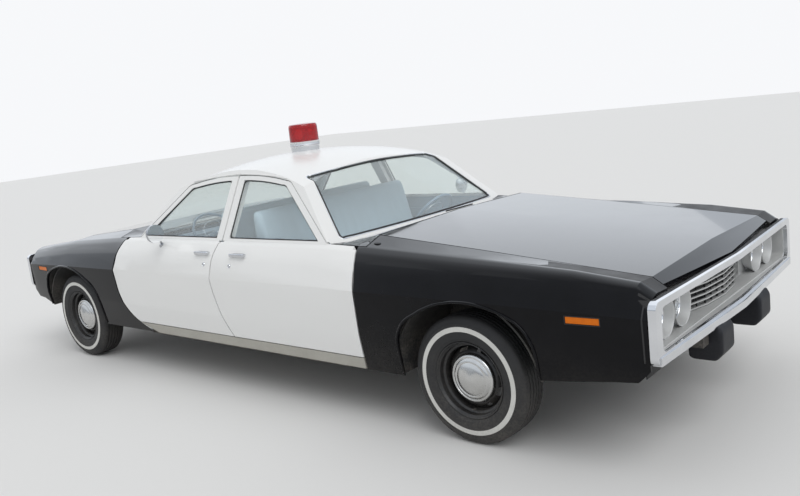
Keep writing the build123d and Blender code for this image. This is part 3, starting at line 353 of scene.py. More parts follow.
# Doors: hung steel shells in white enamel, with a little road film along their foot. On the
# cabin side they are lined with blue vinyl below the glass.
ENDS = ((1, "front"), (-1, "back"))
SIDES = ((-1, "right"), (1, "left"))
BELT = 0.969
DOOR_LINING_Y = 0.872
white_paint = aged("white_paint", (0.83, 0.835, 0.825), 0.26, 0.27, film=(0.46, 0.08),
                   bump=0.0, tone=0.0, specular_ior_level=0.4)
blue_trim = aged("blue_trim", (0.24, 0.34, 0.44), 0.5, 0.62, film=(0.1, 0.0),
                 pebble=(420.0, 0.7), bump=0.25)
doors = [f"{name}_{hand}_door" for _, name in ENDS for _, hand in SIDES]
for node in doors:
    pressed(node, "white_paint", white_paint, blue_trim,
            inside=lambda middle, normal: normal.y * middle.y < -0.3 * abs(middle.y)
            and middle.z < BELT and abs(middle.y) < DOOR_LINING_Y)


# Roof with its pillars: one welded steel shell in the doors' white enamel. It is lined inside
# with pale perforated cloth, stretched over bows.
def middle_of(node):
    """The middle of a CAD node's box."""
    low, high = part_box(node)
    return (Vector(low) + Vector(high)) / 2


CABIN = middle_of("roof_shell").x
CABIN_Z = 0.9
CABIN_MIDDLE = Vector((CABIN, 0, CABIN_Z))
headlining = aged("headlining", (0.62, 0.63, 0.62), 0.85, 0.95, film=(0.1, 0.0),
                  pebble=(260.0, 1.0), bump=0.3)


def faces_cabin(middle, normal):
    """True for a face that looks at the middle of the cabin."""
    return normal.dot(middle - CABIN_MIDDLE) < -0.25


pressed("roof_shell", "white_paint", white_paint, headlining, inside=faces_cabin)


# Sills: box sections of steel under the doors, welded to the floor. Their enamel is a
# creamier white than the doors', and the road has dulled it. Its colour is also painted much
# darker than the doors' white, which is painted shade under the doors.
# The sill colour is set far darker than the doors' white: painted shade under the doors, over a
# real cream tint.
cream_paint = aged("cream_paint", (0.44, 0.43, 0.385), 0.42, 0.55, film=(0.5, 0.5),
                   bump=0.01, specular_ior_level=0.35)
pressed("sills", "cream_paint", cream_paint)


# Windscreens and door windows: safety glass with a light green tint. The door glass slides
# in its frame, and the screens are held by rubber; all of it lets the studio light through.
def dulled(tree, shader, scale, detail, rough, spread, gloss):
    """An uneven gloss, clouded by noise between two values of it."""
    wiped = ramp(tree, mottle(tree, scale, detail, rough), *spread, *gloss)
    tree.links.new(wiped, shader.inputs["Roughness"])


def see_through(tree, shader, soft, tint_shadow):
    """Glass whose shadow is as faint as tint_shadow says, on the rays that soft picks."""
    tree.links.new(ramp(tree, soft, 0.0, 1.0, 1.0, tint_shadow), shader.inputs["Alpha"])


def glazing(name, colour, tint_shadow, clear_share=1.0):
    """Clear glass that lets the studio light through; its other share is a pale bloom."""
    material, tree, shader = surface(name, colour, 0.0, ior=1.45,
                                     transmission_weight=clear_share)
    rays = tree.nodes.new("ShaderNodeLightPath")
    soft = reckon(tree, "MAXIMUM", rays.outputs["Is Shadow Ray"],
                  rays.outputs["Is Diffuse Ray"])
    see_through(tree, shader, soft, tint_shadow)
    dulled(tree, shader, 9.0, 6.0, 0.6, (0.4, 0.75), (0.0, 0.03))
    return material


green_glass = glazing("green_glass", (0.93, 0.975, 0.955), 0.06, 0.91)
door_panes = [door + "_glass" for door in doors]
for node in ["windscreens"] + door_panes:
    frame["nodes"][node].material_slots[0].material = green_glass


# Window gaskets: black rubber channels round the door glass, and a bright strip with a
# rubber lip round each windscreen. Each is an extrusion that follows the glass's own rim,
# where it comes out from under its frame.
RIM_STEP = 0.014
PANE_AREA = 0.08
DOOR_FACETS = math.radians(50)
SCREEN_FACETS = math.radians(28)
GASKET_R = 0.005
LIP_SEAL_R = 0.0065
STRIP_R = 0.004
PROBE_FROM = 0.012
PROBE_STEP = 0.002
PROBE_STEPS = 30
PROBE_HIGH = 0.06
rubber = aged("black_rubber", (0.02, 0.02, 0.021), 0.55, 0.7, film=(0.7, 0.5),
              pebble=(350.0, 0.4), bump=0.15)
chrome = aged("chrome", (0.69, 0.70, 0.72), 0.04, 0.13, film=(0.6, 0.25), bump=0.0,
              tone=0.06, metallic=1.0)


def outer_rims(node, facets):
    """The outer rim of each pane of glass in a node, as a closed run of points.

    facets is the widest angle between two faces of the same side of the glass."""
    mesh = merged(node)
    left = set(mesh.faces)
    runs = []
    while left:
        patch = [left.pop()]
        for face in patch:
            for edge in face.edges:
                for other in edge.link_faces:
                    if other in left and edge.calc_face_angle(0) < facets:
                        left.discard(other)
                        patch.append(other)
        area = sum(face.calc_area() for face in patch)
        out = sum(face.normal.dot(face.calc_center_median() - CABIN_MIDDLE) for face in patch)
        if area < PANE_AREA or out < 0:
            continue
        around = {}
        for edge in {edge for face in patch for edge in face.edges}:
            if len([face for face in edge.link_faces if face in patch]) == 1:
                for vert in edge.verts:
                    around.setdefault(vert, []).append(edge.other_vert(vert))
        start = min(around, key=lambda vert: tuple(vert.co))
        run = [start, min(around[start], key=lambda vert: tuple(vert.co))]
        while run[-1] is not start:
            run.append([vert for vert in around[run[-1]] if vert is not run[-2]][0])
        runs.append([vert.co.copy() for vert in run[:-1]])
    mesh.free()
    return runs


def smoothed(run, passes):
    """A closed run whose points are drawn toward their neighbours."""
    for _ in range(passes):
        run = [(run[i - 1] + point * 2 + run[(i + 1) % len(run)]) / 4
               for i, point in enumerate(run)]
    return run


def even(run):
    """The closed run again in equal steps, with its small kinks smoothed out."""
    points = []
    for here, there in zip(run, run[1:] + run[:1]):
        count = max(1, round((there - here).length / RIM_STEP))
        points += [here.lerp(there, part / count) for part in range(count)]
    spread = []
    travelled = 0.0
    for here, there in zip(points, points[1:] + points[:1]):
        if travelled <= 0:
            spread.append(here)
            travelled += RIM_STEP
        travelled -= (there - here).length
    return smoothed(spread, 4)


def ways_of(run):
    """Each point of a closed run, with its way out from the run's middle and off the car."""
    middle = sum(run, Vector()) / len(run)
    for i, point in enumerate(run):
        along = (run[(i + 1) % len(run)] - run[i - 1]).normalized()
        away = point - middle
        away = (away - along * away.dot(along)).normalized()
        lift = point - CABIN_MIDDLE
        lift = (lift - along * lift.dot(along) - away * lift.dot(away)).normalized()
        yield point, away, lift


def grown(run, step, out):
    """The run moved outward from its own middle by step, and off the car by out."""
    return [point + away * step + lift * out for point, away, lift in ways_of(run)]


def solid_tree(*nodes):
    """A search tree over CAD nodes, to lay a piece on their surface."""
    mesh = bmesh.new()
    for node in nodes:
        mesh.from_mesh(frame["nodes"][node].data)
    tree = BVHTree.FromBMesh(mesh)
    mesh.free()
    return tree


def opening_edge(run, cover, pane):
    """Where the glass comes out from under its frame, all the way round its rim."""
    found = []
    for point, away, lift in ways_of(run):
        for step in range(PROBE_STEPS):
            start = point + away * (PROBE_FROM - PROBE_STEP * step) + lift * PROBE_HIGH
            glass_at, _, _, glass_far = pane.ray_cast(start, -lift, 2 * PROBE_HIGH)
            _, _, _, frame_far = cover.ray_cast(start, -lift, 2 * PROBE_HIGH)
            if glass_at and (frame_far is None or glass_far < frame_far):
                found.append(glass_at)
                break
    return smoothed(found, 3)


def bead(name, runs, radius, finish, body, closed=True):
    """A rubber or metal strip laid along runs of points, kept as one mesh."""
    line = bpy.data.curves.new(name, "CURVE")
    line.dimensions = "3D"
    line.bevel_depth = radius
    line.bevel_resolution = 2
    line.use_fill_caps = True
    for run in runs:
        spline = line.splines.new("POLY")
        spline.points.add(len(run) - 1)
        for knot, point in zip(spline.points, run):
            knot.co = (*point, 1)
        spline.use_cyclic_u = closed
    holder = bpy.data.objects.new(name + "_line", line)
    bpy.context.scene.collection.objects.link(holder)
    bpy.context.view_layer.update()
    mesh = bmesh.new()
    mesh.from_mesh(bpy.data.meshes.new_from_object(holder))
    bpy.data.objects.remove(holder)
    bmesh.ops.remove_doubles(mesh, verts=mesh.verts, dist=MERGE / 2)
    bmesh.ops.recalc_face_normals(mesh, faces=mesh.faces)
    for face in mesh.faces:
        face.smooth = True
    piece = stow(mesh, name, finish)
    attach(piece, body)


for node in door_panes:
    body = frame["nodes"][node]["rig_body"]
    door_frame, pane = solid_tree(body), solid_tree(node)
    rims = [opening_edge(even(run), door_frame, pane) for run in outer_rims(node, DOOR_FACETS)]
    bead(node + "_gasket", [grown(run, 0.0, 0.0015) for run in rims], GASKET_R, rubber, body)
screen_frame, pane = solid_tree("roof_shell", "cowls"), solid_tree("windscreens")
screen_rims = [opening_edge(even(run), screen_frame, pane)
               for run in outer_rims("windscreens", SCREEN_FACETS)]
bead("screen_gaskets", [grown(run, -0.007, 0.003) for run in screen_rims], LIP_SEAL_R, rubber,
     "car_body")
bead("screen_bright_strips", [grown(run, 0.006, 0.005) for run in screen_rims], STRIP_R,
     chrome, "car_body")


# Drip rails: a folded steel gutter over the doors on each side, painted with the roof. It is
# spot-welded along the pillars and the edge of the roof.
RAIL_R = 0.0055
OUTSIDE = 1.3
SKIN_GAP = 0.001
rail_line = [(0.815, 1.030), (0.700, 1.122), (0.600, 1.202), (0.530, 1.262), (0.498, 1.290),
             (0.462, 1.306), (0.350, 1.322), (0.200, 1.335), (0.000, 1.345)]


def laid(tree, start, direction, lift=0.0):
    """Where a ray first meets the surface, lifted off it."""
    place, normal, _, _ = tree.ray_cast(Vector(start), Vector(direction))
    return place + normal * lift if place else None


def beside(tree, side, x, z, lift=0.0):
    """Where a level ray from beside the car meets the surface, lifted off it."""
    return laid(tree, (x, side * OUTSIDE, z), (0, -side, 0), lift)


roof_sides = solid_tree("roof_shell")
for side, hand in SIDES:
    halves = []
    for end, _ in ENDS:
        halves.append([beside(roof_sides, side, CABIN + end * reach, z, SKIN_GAP)
                       for reach, z in rail_line])
    run = [spot for spot in halves[0] + halves[1][-2::-1] if spot]
    bead(f"drip_rail_{hand}", [run], RAIL_R, white_paint, "car_body",
         closed=False)


# Door handles: cast pull bars, chromed, on two feet over a dished seat, with a round key lock
# below. The seat is a darker chrome than the bar, which is painted shade under the bar. They
# are bolted through the doors' skins, so they swing with the doors.
HANDLE_LONG = 0.134
HANDLE_HIGH = 0.021
HANDLE_OUT = 0.021
FOOT_IN = 0.016
FOOT_SIZE = (0.024, 0.022, 0.017)
SEAT_SIZE = (0.098, 0.004, 0.026)
ROLL_SHARP = math.radians(38)
grip_at = {"front": (0.117, 0.888), "back": (-0.238, 0.891)}
lock_at = {"front": (0.047, 0.822), "back": (-0.210, 0.823)}
lock_section = [(0.0, 0.005), (0.0045, 0.005), (0.005, 0.0025), (0.0075, 0.0025),
                (0.009, 0.006), (0.0105, 0.0045), (0.0125, 0.0), (0.0125, -0.004),
                (0.0, -0.004)]
# The darker tone of this chrome on the handle seats is painted shade under the pull bars.
old_chrome_and_shade = aged("old_chrome_and_shade", (0.42, 0.43, 0.45), 0.16, 0.3, film=(1.0, 0.2), bump=0.0,
                  tone=0.1, metallic=1.0)
handle_chrome = aged("handle_chrome", (0.60, 0.61, 0.63), 0.14, 0.26, film=(1.0, 0.2),
                     bump=0.0, tone=0.1, metallic=1.0)


def slab(mesh, middle, size, round_off, turn=None, segments=3):
    """A box of a given size with rolled edges, added to a bmesh."""
    place = Matrix.Translation(middle) @ (turn or Matrix.Identity(3)).to_4x4()
    made = bmesh.ops.create_cube(mesh, size=1, matrix=place @ Matrix.Diagonal((*size, 1)))
    edges = list({edge for vert in made["verts"] for edge in vert.link_edges})
    bmesh.ops.bevel(mesh, geom=edges, offset=round_off, segments=segments, profile=0.5,
                    affect="EDGES", material=-1)


def turned(mesh, points, middle, axis=(0, 1, 0), steps=64, closed=False):
    """Points of (radius, distance along the axis) spun round an axis through a middle."""
    axis = Vector(axis).normalized()
    side = axis.orthogonal().normalized()
    verts = [mesh.verts.new(Vector(middle) + side * r + axis * t) for r, t in points]
    pairs = list(zip(verts, verts[1:]))
    if closed:
        pairs.append((verts[-1], verts[0]))
    edges = [mesh.edges.new(pair) for pair in pairs]
    bmesh.ops.spin(mesh, geom=verts + edges, cent=Vector(middle), axis=axis,
                   angle=math.tau, steps=steps, use_merge=True)


def close_up(mesh):
    """Merge doubles and poles, turn all faces outward and shade them smooth."""
    bmesh.ops.remove_doubles(mesh, verts=mesh.verts, dist=MERGE)
    bmesh.ops.recalc_face_normals(mesh, faces=mesh.faces)
    for face in mesh.faces:
        face.smooth = True
    for edge in mesh.edges:
        edge.smooth = edge.calc_face_angle(math.pi) < ROLL_SHARP


def fitted(mesh, name, body, slot, *finishes):
    """Close the mesh as a piece that rides on a body."""
    close_up(mesh)
    piece = stow(mesh, name, *finishes)
    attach(piece, body)
    return piece


def boxes(name, body, slot, finish, *blocks):
    """A piece made of boxes, each with its middle, size and rolled edge."""
    mesh = bmesh.new()
    for block in blocks:
        slab(mesh, *block)
    fitted(mesh, name, body, slot, finish)


for _, name in ENDS:
    for side, hand in SIDES:
        node = f"{name}_{hand}_door"
        door_side = solid_tree(node)
        grip = beside(door_side, side, *grip_at[name])
        mesh = bmesh.new()
        slab(mesh, grip + Vector((0, side * HANDLE_OUT, 0)), (HANDLE_LONG, 0.013, HANDLE_HIGH),
             0.0045)
        for way in (-1, 1):
            foot_x = way * (HANDLE_LONG / 2 - FOOT_IN)
            slab(mesh, grip + Vector((foot_x, side * 0.009, -0.001)), FOOT_SIZE, 0.003)
        lock = beside(door_side, side, *lock_at[name])
        turned(mesh, lock_section, lock, (0, side, 0), 32)
        fitted(mesh, f"{node}_handle", node, "chrome", handle_chrome)
        # The seat's darker chrome is painted shade under the pull bar.
        boxes(f"{node}_handle_seat", node, "chrome", old_chrome_and_shade,
              (grip + Vector((0, side * 0.0005, -0.004)), SEAT_SIZE, 0.0015))


# Door mirrors: spun round heads on a bent stalk, chromed long ago and a little dulled, with a
# silvered glass crimped into the side that faces the driver.
MIRROR_FOOT = 0.96
silvering, tree, shader = surface("mirror_face", (0.9, 0.91, 0.92), 0.01, metallic=1.0)
dulled(tree, shader, 40.0, 3.0, 0.5, (0.4, 0.8), (0.01, 0.06))
for end, name in ENDS:
    pressed(name + "_mirror", "chrome", old_chrome_and_shade, silvering, ease=0.0008,
            inside=lambda middle, normal: normal.x * end < -0.9 and middle.z > MIRROR_FOOT)


# Loop bumpers: heavy steel rings, chromed, with arms bolted to the rails. A black rubber strip
# seals the hood's edge along the top of each, and a black pressed valance closes the gap below.
loop_low, loop_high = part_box("front_loop_bumper")
LOOP_FOOT = 0.5225
STRIP_THICK = 0.0012
SEAL_Z = loop_high[2] + 0.0008
VALANCE_Z = 0.487
VALANCE_SIZE = (0.004, 1.72, 0.105)
seal_outline = [(2.659, -0.90), (2.6735, -0.90), (2.704, 0.0), (2.6735, 0.90), (2.659, 0.90),
                (2.691, 0.0)]


def bowed_strip(name, end, outline, z, slot, finish):
    """A thin level strip across one end of the car, from its outline at a height."""
    mesh = bmesh.new()
    face = mesh.faces.new([mesh.verts.new((end * x, y, z)) for x, y in outline])
    bmesh.ops.solidify(mesh, geom=[face], thickness=STRIP_THICK)
    fitted(mesh, name, "car_body", slot, finish)


for end, name in ENDS:
    pressed(name + "_loop_bumper", "chrome", chrome, black_steel, ease=0.004,
            inside=lambda middle, normal: middle.z < LOOP_FOOT)
    bowed_strip(name + "_loop_seal", end, seal_outline, SEAL_Z, "black_rubber", rubber)
    boxes(name + "_valance", "car_body", "black_paint", black_paint,
          ((end * loop_low[0], 0, VALANCE_Z), VALANCE_SIZE, 0.001))


# Grille: a silver tray behind the loop with a bowed nest of bars, and four sealed lamps held by
# bright rims in round cups. A black sheet behind the bars hides the engine bay; it is painted
# shade for the dark depth behind the grille. Two thin lips close the tray against the loop.
tray_low, tray_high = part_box("front_grille_tray")
BAR_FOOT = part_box("front_grille_bars")[0][2] - 0.0008
BAR_PITCH = 0.0261
BAR_HIGH = 0.008
SHADE_X = tray_low[0] - 0.0055
SHADE_SIZE = (0.003, 0.83, 0.196)
LAMP_Z = middle_of("front_grille_tray").z
LAMP_YS = (0.520, 0.712)
SOCKET_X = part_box("front_headlamps")[1][0] - 0.022
LIP_SET_IN = 0.0015
tray_lips = {"foot": tray_low[2] + LIP_SET_IN, "top": tray_high[2] - LIP_SET_IN}
lip_outline = [(2.655, -0.885), (2.682, -0.885), (2.708, 0.0), (2.682, 0.885), (2.655, 0.885)]
bowl_section = [(0.0, -0.052), (0.012, -0.051), (0.036, -0.036), (0.054, -0.012),
                (0.0615, 0.0), (0.0615, 0.002), (0.0635, 0.002), (0.0635, -0.001),
                (0.056, -0.014), (0.038, -0.0385), (0.014, -0.0535), (0.0, -0.0545)]
shield_section = [(0.0, -0.03), (0.006, -0.03), (0.008, -0.022), (0.005, -0.014), (0.0, -0.012)]
lens_section = [(0.0, 0.0205), (0.020, 0.0195), (0.040, 0.0155), (0.055, 0.0095),
                (0.061, 0.005), (0.061, 0.0025), (0.054, 0.006), (0.040, 0.012),
                (0.020, 0.016), (0.0, 0.017)]
rim_section = [(0.0615, 0.004), (0.0625, 0.010), (0.0655, 0.013), (0.0685, 0.010),
               (0.0705, 0.002), (0.0705, -0.02), (0.0685, -0.02), (0.0685, -0.002),
               (0.064, 0.001)]
cup_section = [(0.0700, 0.002), (0.0740, 0.012), (0.0830, 0.036), (0.0880, 0.050),
               (0.0915, 0.052), (0.0925, 0.048), (0.0860, 0.034), (0.0770, 0.010),
               (0.0735, 0.001)]
silver_paint = aged("silver_paint", (0.60, 0.605, 0.60), 0.38, 0.5, film=(0.7, 0.2),
                    bump=0.02, metallic=0.35)
clear_lens = glazing("lamp_glass", (0.97, 0.98, 0.98), 0.1)
grille_black = aged("grille_black", (0.012, 0.012, 0.013), 0.5, 0.65, film=(0.7, 0.1),
                    bump=0.02)
for end, name in ENDS:
    pressed(name + "_grille_tray", "silver_paint", silver_paint, ease=0.003)
    pressed(name + "_grille_bars", "silver_paint", silver_paint, grille_black, ease=0.0,
            inside=lambda middle, normal: abs(normal.y) > 0.9
            or (middle.z - BAR_FOOT) % BAR_PITCH > BAR_HIGH)
    # The black sheet behind the bars is painted shade for the engine bay's dark depth.
    boxes(name + "_grille_painted_shade", "car_body", "black_steel", grille_black,
          ((end * SHADE_X, 0, LAMP_Z), SHADE_SIZE, 0.001))
    for edge_name, z in tray_lips.items():
        bowed_strip(f"{name}_tray_{edge_name}_lip", end, lip_outline, z, "silver_paint",
                    silver_paint)
    bowls, lenses, rims, cups = bmesh.new(), bmesh.new(), bmesh.new(), bmesh.new()
    for y in [side * y for y in LAMP_YS for side in (1, -1)]:
        lamp_at = (end * SOCKET_X, y, LAMP_Z)
        turned(bowls, bowl_section, lamp_at, (end, 0, 0))
        turned(bowls, shield_section, lamp_at, (end, 0, 0), 24)
        turned(lenses, lens_section, lamp_at, (end, 0, 0), 96)
        turned(rims, rim_section, lamp_at, (end, 0, 0), 96, closed=True)
        turned(cups, cup_section, lamp_at, (end, 0, 0), 96, closed=True)
    lamps = fitted(lenses, name + "_lamp_lenses", "car_body", "lamp_glass", clear_lens)
    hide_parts(name + "_headlamps")
    fitted(bowls, name + "_lamp_bowls", "car_body", "bright_steel", chrome)
    fitted(rims, name + "_lamp_rims", "car_body", "chrome", chrome)
    fitted(cups, name + "_lamp_cups", "car_body", "silver_paint", silver_paint)


# Bumper guards: thick moulded rubber blocks, bolted to steel arms under each loop. Moulding
# leaves no sharp edge, so each block is remeshed fine and then softened.
GUARD_VOXEL = 0.006
GUARD_PASSES = 24
guard_rubber = aged("guard_rubber", (0.010, 0.011, 0.015), 0.5, 0.6, film=(0.6, 0.08),
                    pebble=(350.0, 0.4), bump=0.04, specular_ior_level=0.3)
guards = pressed("bumper_guards", "black_rubber", guard_rubber, ease=0.0)
guards.modifiers.clear()
moulded = guards.modifiers.new("moulded", "REMESH")
moulded.mode = "VOXEL"
moulded.voxel_size = GUARD_VOXEL
moulded.use_smooth_shade = True
softened = guards.modifiers.new("softened", "SMOOTH")
softened.factor = 0.5
softened.iterations = GUARD_PASSES


# Side marker lamps: moulded amber plastic with a finely fluted face, screwed into each fender
# near its end. The colour is a little deeper where the moulding is thick.
FLUTES = 60.0
amber, tree, shader = surface("amber_lens", (0.72, 0.17, 0.004), 0.32, specular_ior_level=0.2)
flute = add(tree, "TexWave", add(tree, "TexCoord").outputs["Object"], FLUTES,
            bands_direction="X")
emboss(tree, shader, flute.outputs[1], 0.25)
amber_tone = blend(tree, mottle(tree, 30.0), (0.60, 0.12, 0.003), (0.82, 0.21, 0.008))
tree.links.new(amber_tone, shader.inputs["Base Color"])
pressed("marker_lamps", "amber_lens", amber, ease=0.002)


# Roof light: a spun bright base screwed to the roof and a red ribbed plastic dome, which a
# bright band clamps to it. Inside, twin sealed lamps turn on a small stand.
LIGHT_X = middle_of("beacon_base").x
RIBS = 60
RIB_DEEP = 0.0013
RIBBED_R = (0.0985, 0.1)
RIBBED_Z = (1.473, 1.575)
BEAM_Z = 1.535
BEAM_FACE_Y = 0.0445
BEAM_FACE_R = 0.041
TABLE_Z = 1.489
TABLE_SIZE = (0.05, 0.07, 0.004)
BRACKET_OFF = 0.0235
BRACKET_Z = 1.512
BRACKET_SIZE = (0.003, 0.03, 0.05)
dome_section = [(0.098, 1.4615), (0.1015, 1.463), (0.1015, 1.470), (0.0992, 1.474),
                (0.0992, 1.584), (0.0978, 1.597), (0.0925, 1.605), (0.072, 1.6085),
                (0.035, 1.6105), (0.0, 1.611), (0.0, 1.607), (0.034, 1.6065), (0.068, 1.604),
                (0.0855, 1.5985), (0.0925, 1.588), (0.0945, 1.571), (0.0945, 1.4615)]
band_section = [(0.1018, 1.4620), (0.1036, 1.4635), (0.1036, 1.4655), (0.1030, 1.4670),
                (0.1030, 1.4835), (0.1036, 1.4850), (0.1036, 1.4870), (0.1020, 1.4880),
                (0.1016, 1.4870), (0.1016, 1.4630)]
beam_section = [(0.0, 0.010), (0.016, 0.012), (0.034, 0.024), (0.042, 0.040),
                (0.0445, 0.042), (0.0445, 0.045), (0.040, 0.046), (0.0, 0.052)]
stand_section = [(0.0, 1.468), (0.028, 1.468), (0.028, 1.474), (0.012, 1.478), (0.012, 1.49),
                 (0.0, 1.49)]
light_axis = Vector((LIGHT_X, 0, 0))
brushed = aged("bright_steel", (0.80, 0.81, 0.82), 0.26, 0.36, film=(0.4, 0.0),
               pebble=(500.0, 0.2), bump=0.03, metallic=1.0)
pressed("beacon_base", "bright_steel", brushed, ease=0.0015)
red_lens, tree, shader = surface("red_lens", (0.78, 0.012, 0.02), 0.06, ior=1.3,
                                 transmission_weight=0.62, coat_weight=0.3)
rays = tree.nodes.new("ShaderNodeLightPath")
see_through(tree, shader, rays.outputs["Is Shadow Ray"], 0.35)
red_tone = blend(tree, mottle(tree, 14.0, 4.0), (0.46, 0.022, 0.028), (0.74, 0.06, 0.065))
tree.links.new(red_tone, shader.inputs["Base Color"])
mesh = bmesh.new()
turned(mesh, dome_section, light_axis, (0, 0, 1), RIBS * 2, closed=True)
close_up(mesh)
for vert in mesh.verts:
    out = Vector((vert.co.x - LIGHT_X, vert.co.y, 0))
    ribbed = (RIBBED_R[0] < out.length < RIBBED_R[1]
              and RIBBED_Z[0] < vert.co.z < RIBBED_Z[1])
    step = round(math.atan2(out.y, out.x) / math.tau * RIBS * 2)
    if ribbed and step % 2:
        vert.co += out.normalized() * RIB_DEEP
dome = stow(mesh, "beacon_dome", red_lens)
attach(dome, "car_body")
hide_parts("beacon_lens")
mesh = bmesh.new()
turned(mesh, band_section, light_axis, (0, 0, 1), RIBS * 2, closed=True)
fitted(mesh, "beacon_clamp_band", "car_body", "bright_steel", brushed)
# The lamps' faces glow faintly: a painted highlight for the glint of their reflectors inside
# the dome.
beam_face_painted_glow, tree, shader = surface("beam_face_painted_glow", (0.9, 0.86, 0.8), 0.1, emission_strength=0.2)
painted_glow = blend(tree, mottle(tree, 60.0), (0.9, 0.45, 0.35), (1.0, 0.75, 0.6))
tree.links.new(painted_glow, shader.inputs["Emission Color"])
mesh = bmesh.new()
for way in (1, -1):
    turned(mesh, beam_section, (LIGHT_X, 0, BEAM_Z), (0, way, 0), 48)
for face in mesh.faces:
    middle = face.calc_center_median()
    out = math.hypot(middle.x - LIGHT_X, middle.z - BEAM_Z)
    face.material_index = 1 if abs(middle.y) > BEAM_FACE_Y and out < BEAM_FACE_R else 0
slab(mesh, (LIGHT_X, 0, TABLE_Z), TABLE_SIZE, 0.001)
for way in (-1, 1):
    slab(mesh, (LIGHT_X + way * BRACKET_OFF, 0, BRACKET_Z), BRACKET_SIZE, 0.001)
turned(mesh, stand_section, light_axis, (0, 0, 1), 40)
beams = fitted(mesh, "beacon_beams", "beacon_lamp", "bright_steel", brushed, beam_face_painted_glow)
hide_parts("beacon_lamp")


# Tyres: bias-ply rubber, moulded with ribbed walls, a zigzag tread and five grooves. The thin
# white band is a layer of white rubber, ground bare after moulding.
TYRE_STEPS = 120
GROOVES = (0.048, 0.024, 0.0, -0.024, -0.048)
GROOVE_DEEP = 0.0065
TREAD_R = 0.3249
TREAD_FROM_R = 0.3155
TREAD_HALF = 0.07
ZIGZAG = 0.0022
BAND_FROM_R = 0.247
BAND_TO_R = 0.271
BAND_Y = 0.09
tread = [(0.3165, 0.0755), (0.3225, 0.066)]
for groove in GROOVES:
    crown = TREAD_R - abs(groove) * 0.028
    tread += [(crown, groove + 0.0035), (crown - GROOVE_DEEP, groove + 0.0022),
              (crown - GROOVE_DEEP, groove - 0.0022), (crown, groove - 0.0035)]
tread += [(0.3225, -0.066), (0.3165, -0.0755)]
tyre_wall = [(0.1905, 0.066), (0.196, 0.079), (0.203, 0.0845), (0.209, 0.0858),
             (0.211, 0.0875), (0.216, 0.088), (0.2465, 0.0935), (0.2475, 0.0948),
             (0.2705, 0.0945), (0.2715, 0.0930), (0.284, 0.0912), (0.2855, 0.0925),
             (0.2875, 0.0908), (0.300, 0.0868), (0.308, 0.0825)]
far_wall = [(r, -t) for r, t in reversed(tyre_wall)]
tyre_rubber = aged("tyre", (0.018, 0.018, 0.019), 0.6, 0.78, film=(0.5, 0.22),
                   pebble=(420.0, 0.2), bump=0.12, tone=0.15)
white_band = aged("white_band", (0.66, 0.66, 0.63), 0.5, 0.65, film=(0.5, 0.3),
                  pebble=(300.0, 0.2), bump=0.05)


def polar(spot, middle):
    """How far a point is from a wheel's axis, and its share of a turn round it."""
    out = spot - middle
    return math.hypot(out.x, out.z), math.atan2(out.z, out.x) / math.tau


for _, name in ENDS:
    for side, hand in SIDES:
        middle = middle_of(f"{name}_{hand}_wheel")
        mesh = bmesh.new()
        turned(mesh, tyre_wall + tread + far_wall, middle, (0, side, 0), TYRE_STEPS)
        close_up(mesh)
        for vert in mesh.verts:
            r, turn = polar(vert.co, middle)
            if r > TREAD_FROM_R and abs(vert.co.y - middle.y) < TREAD_HALF:
                vert.co.y += ZIGZAG if round(turn * TYRE_STEPS) % 2 else -ZIGZAG
        for face in mesh.faces:
            spot = face.calc_center_median()
            r, turn = polar(spot, middle)
            outer = (spot.y - middle.y) * side > BAND_Y
            face.material_index = 1 if outer and BAND_FROM_R < r < BAND_TO_R else 0
        tyre = stow(mesh, f"{name}_{hand}_tyre_rubber", tyre_rubber, white_band)
        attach(tyre, f"{name}_{hand}_wheel")
        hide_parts(f"{name}_{hand}_tyre")


# Wheels: rolled steel rims welded to pressed discs with eight slots, painted black and held by
# five nuts. A stepped cap, chromed, snaps on the disc, and a rubber valve stands in the rim.
# The cap's chrome is toned darker, which is a painted reflection of dark ground.
SLOTS = 8
SLOT_SPAN = (0.24, 0.76)
SLOT_R = (0.1375, 0.155)
SLOT_DEPTH = (0.008, 0.033)
NUTS = 5
NUT_CIRCLE_R = 0.0575
NUT_Y = 0.024
VALVE_Y = 0.048
VALVE_R = 0.158
DISC_STEPS = 96
steel_rim_section = [(0.1935, 0.0785), (0.1935, 0.081), (0.1905, 0.0815), (0.187, 0.079),
                     (0.184, 0.072), (0.1795, 0.069), (0.1775, 0.058), (0.1765, 0.046),
                     (0.166, 0.040), (0.162, 0.030), (0.162, -0.012), (0.166, -0.02),
                     (0.1755, -0.030), (0.1775, -0.066), (0.184, -0.070), (0.188, -0.078),
                     (0.1935, -0.0785), (0.1935, -0.0745), (0.190, -0.074), (0.186, -0.066),
                     (0.1795, -0.063), (0.1785, -0.028), (0.169, -0.016), (0.165, -0.01),
                     (0.165, 0.028), (0.168, 0.037), (0.1785, 0.043), (0.1805, 0.064),
                     (0.1865, 0.068), (0.190, 0.0755)]
disc_section = [(0.0, 0.006), (0.032, 0.006), (0.036, 0.020), (0.075, 0.026),
                (0.110, 0.028), (0.118, 0.034), (0.130, 0.036), (0.139, 0.030),
                (0.154, 0.014), (0.158, 0.004), (0.1625, 0.0), (0.1625, -0.004),
                (0.156, 0.0), (0.151, 0.011), (0.137, 0.026), (0.129, 0.032),
                (0.119, 0.030), (0.111, 0.024), (0.075, 0.022), (0.040, 0.016),
                (0.036, 0.002), (0.0, 0.002)]
nut_section = [(0.0, 0.016), (0.007, 0.016), (0.0105, 0.012), (0.0105, 0.0)]
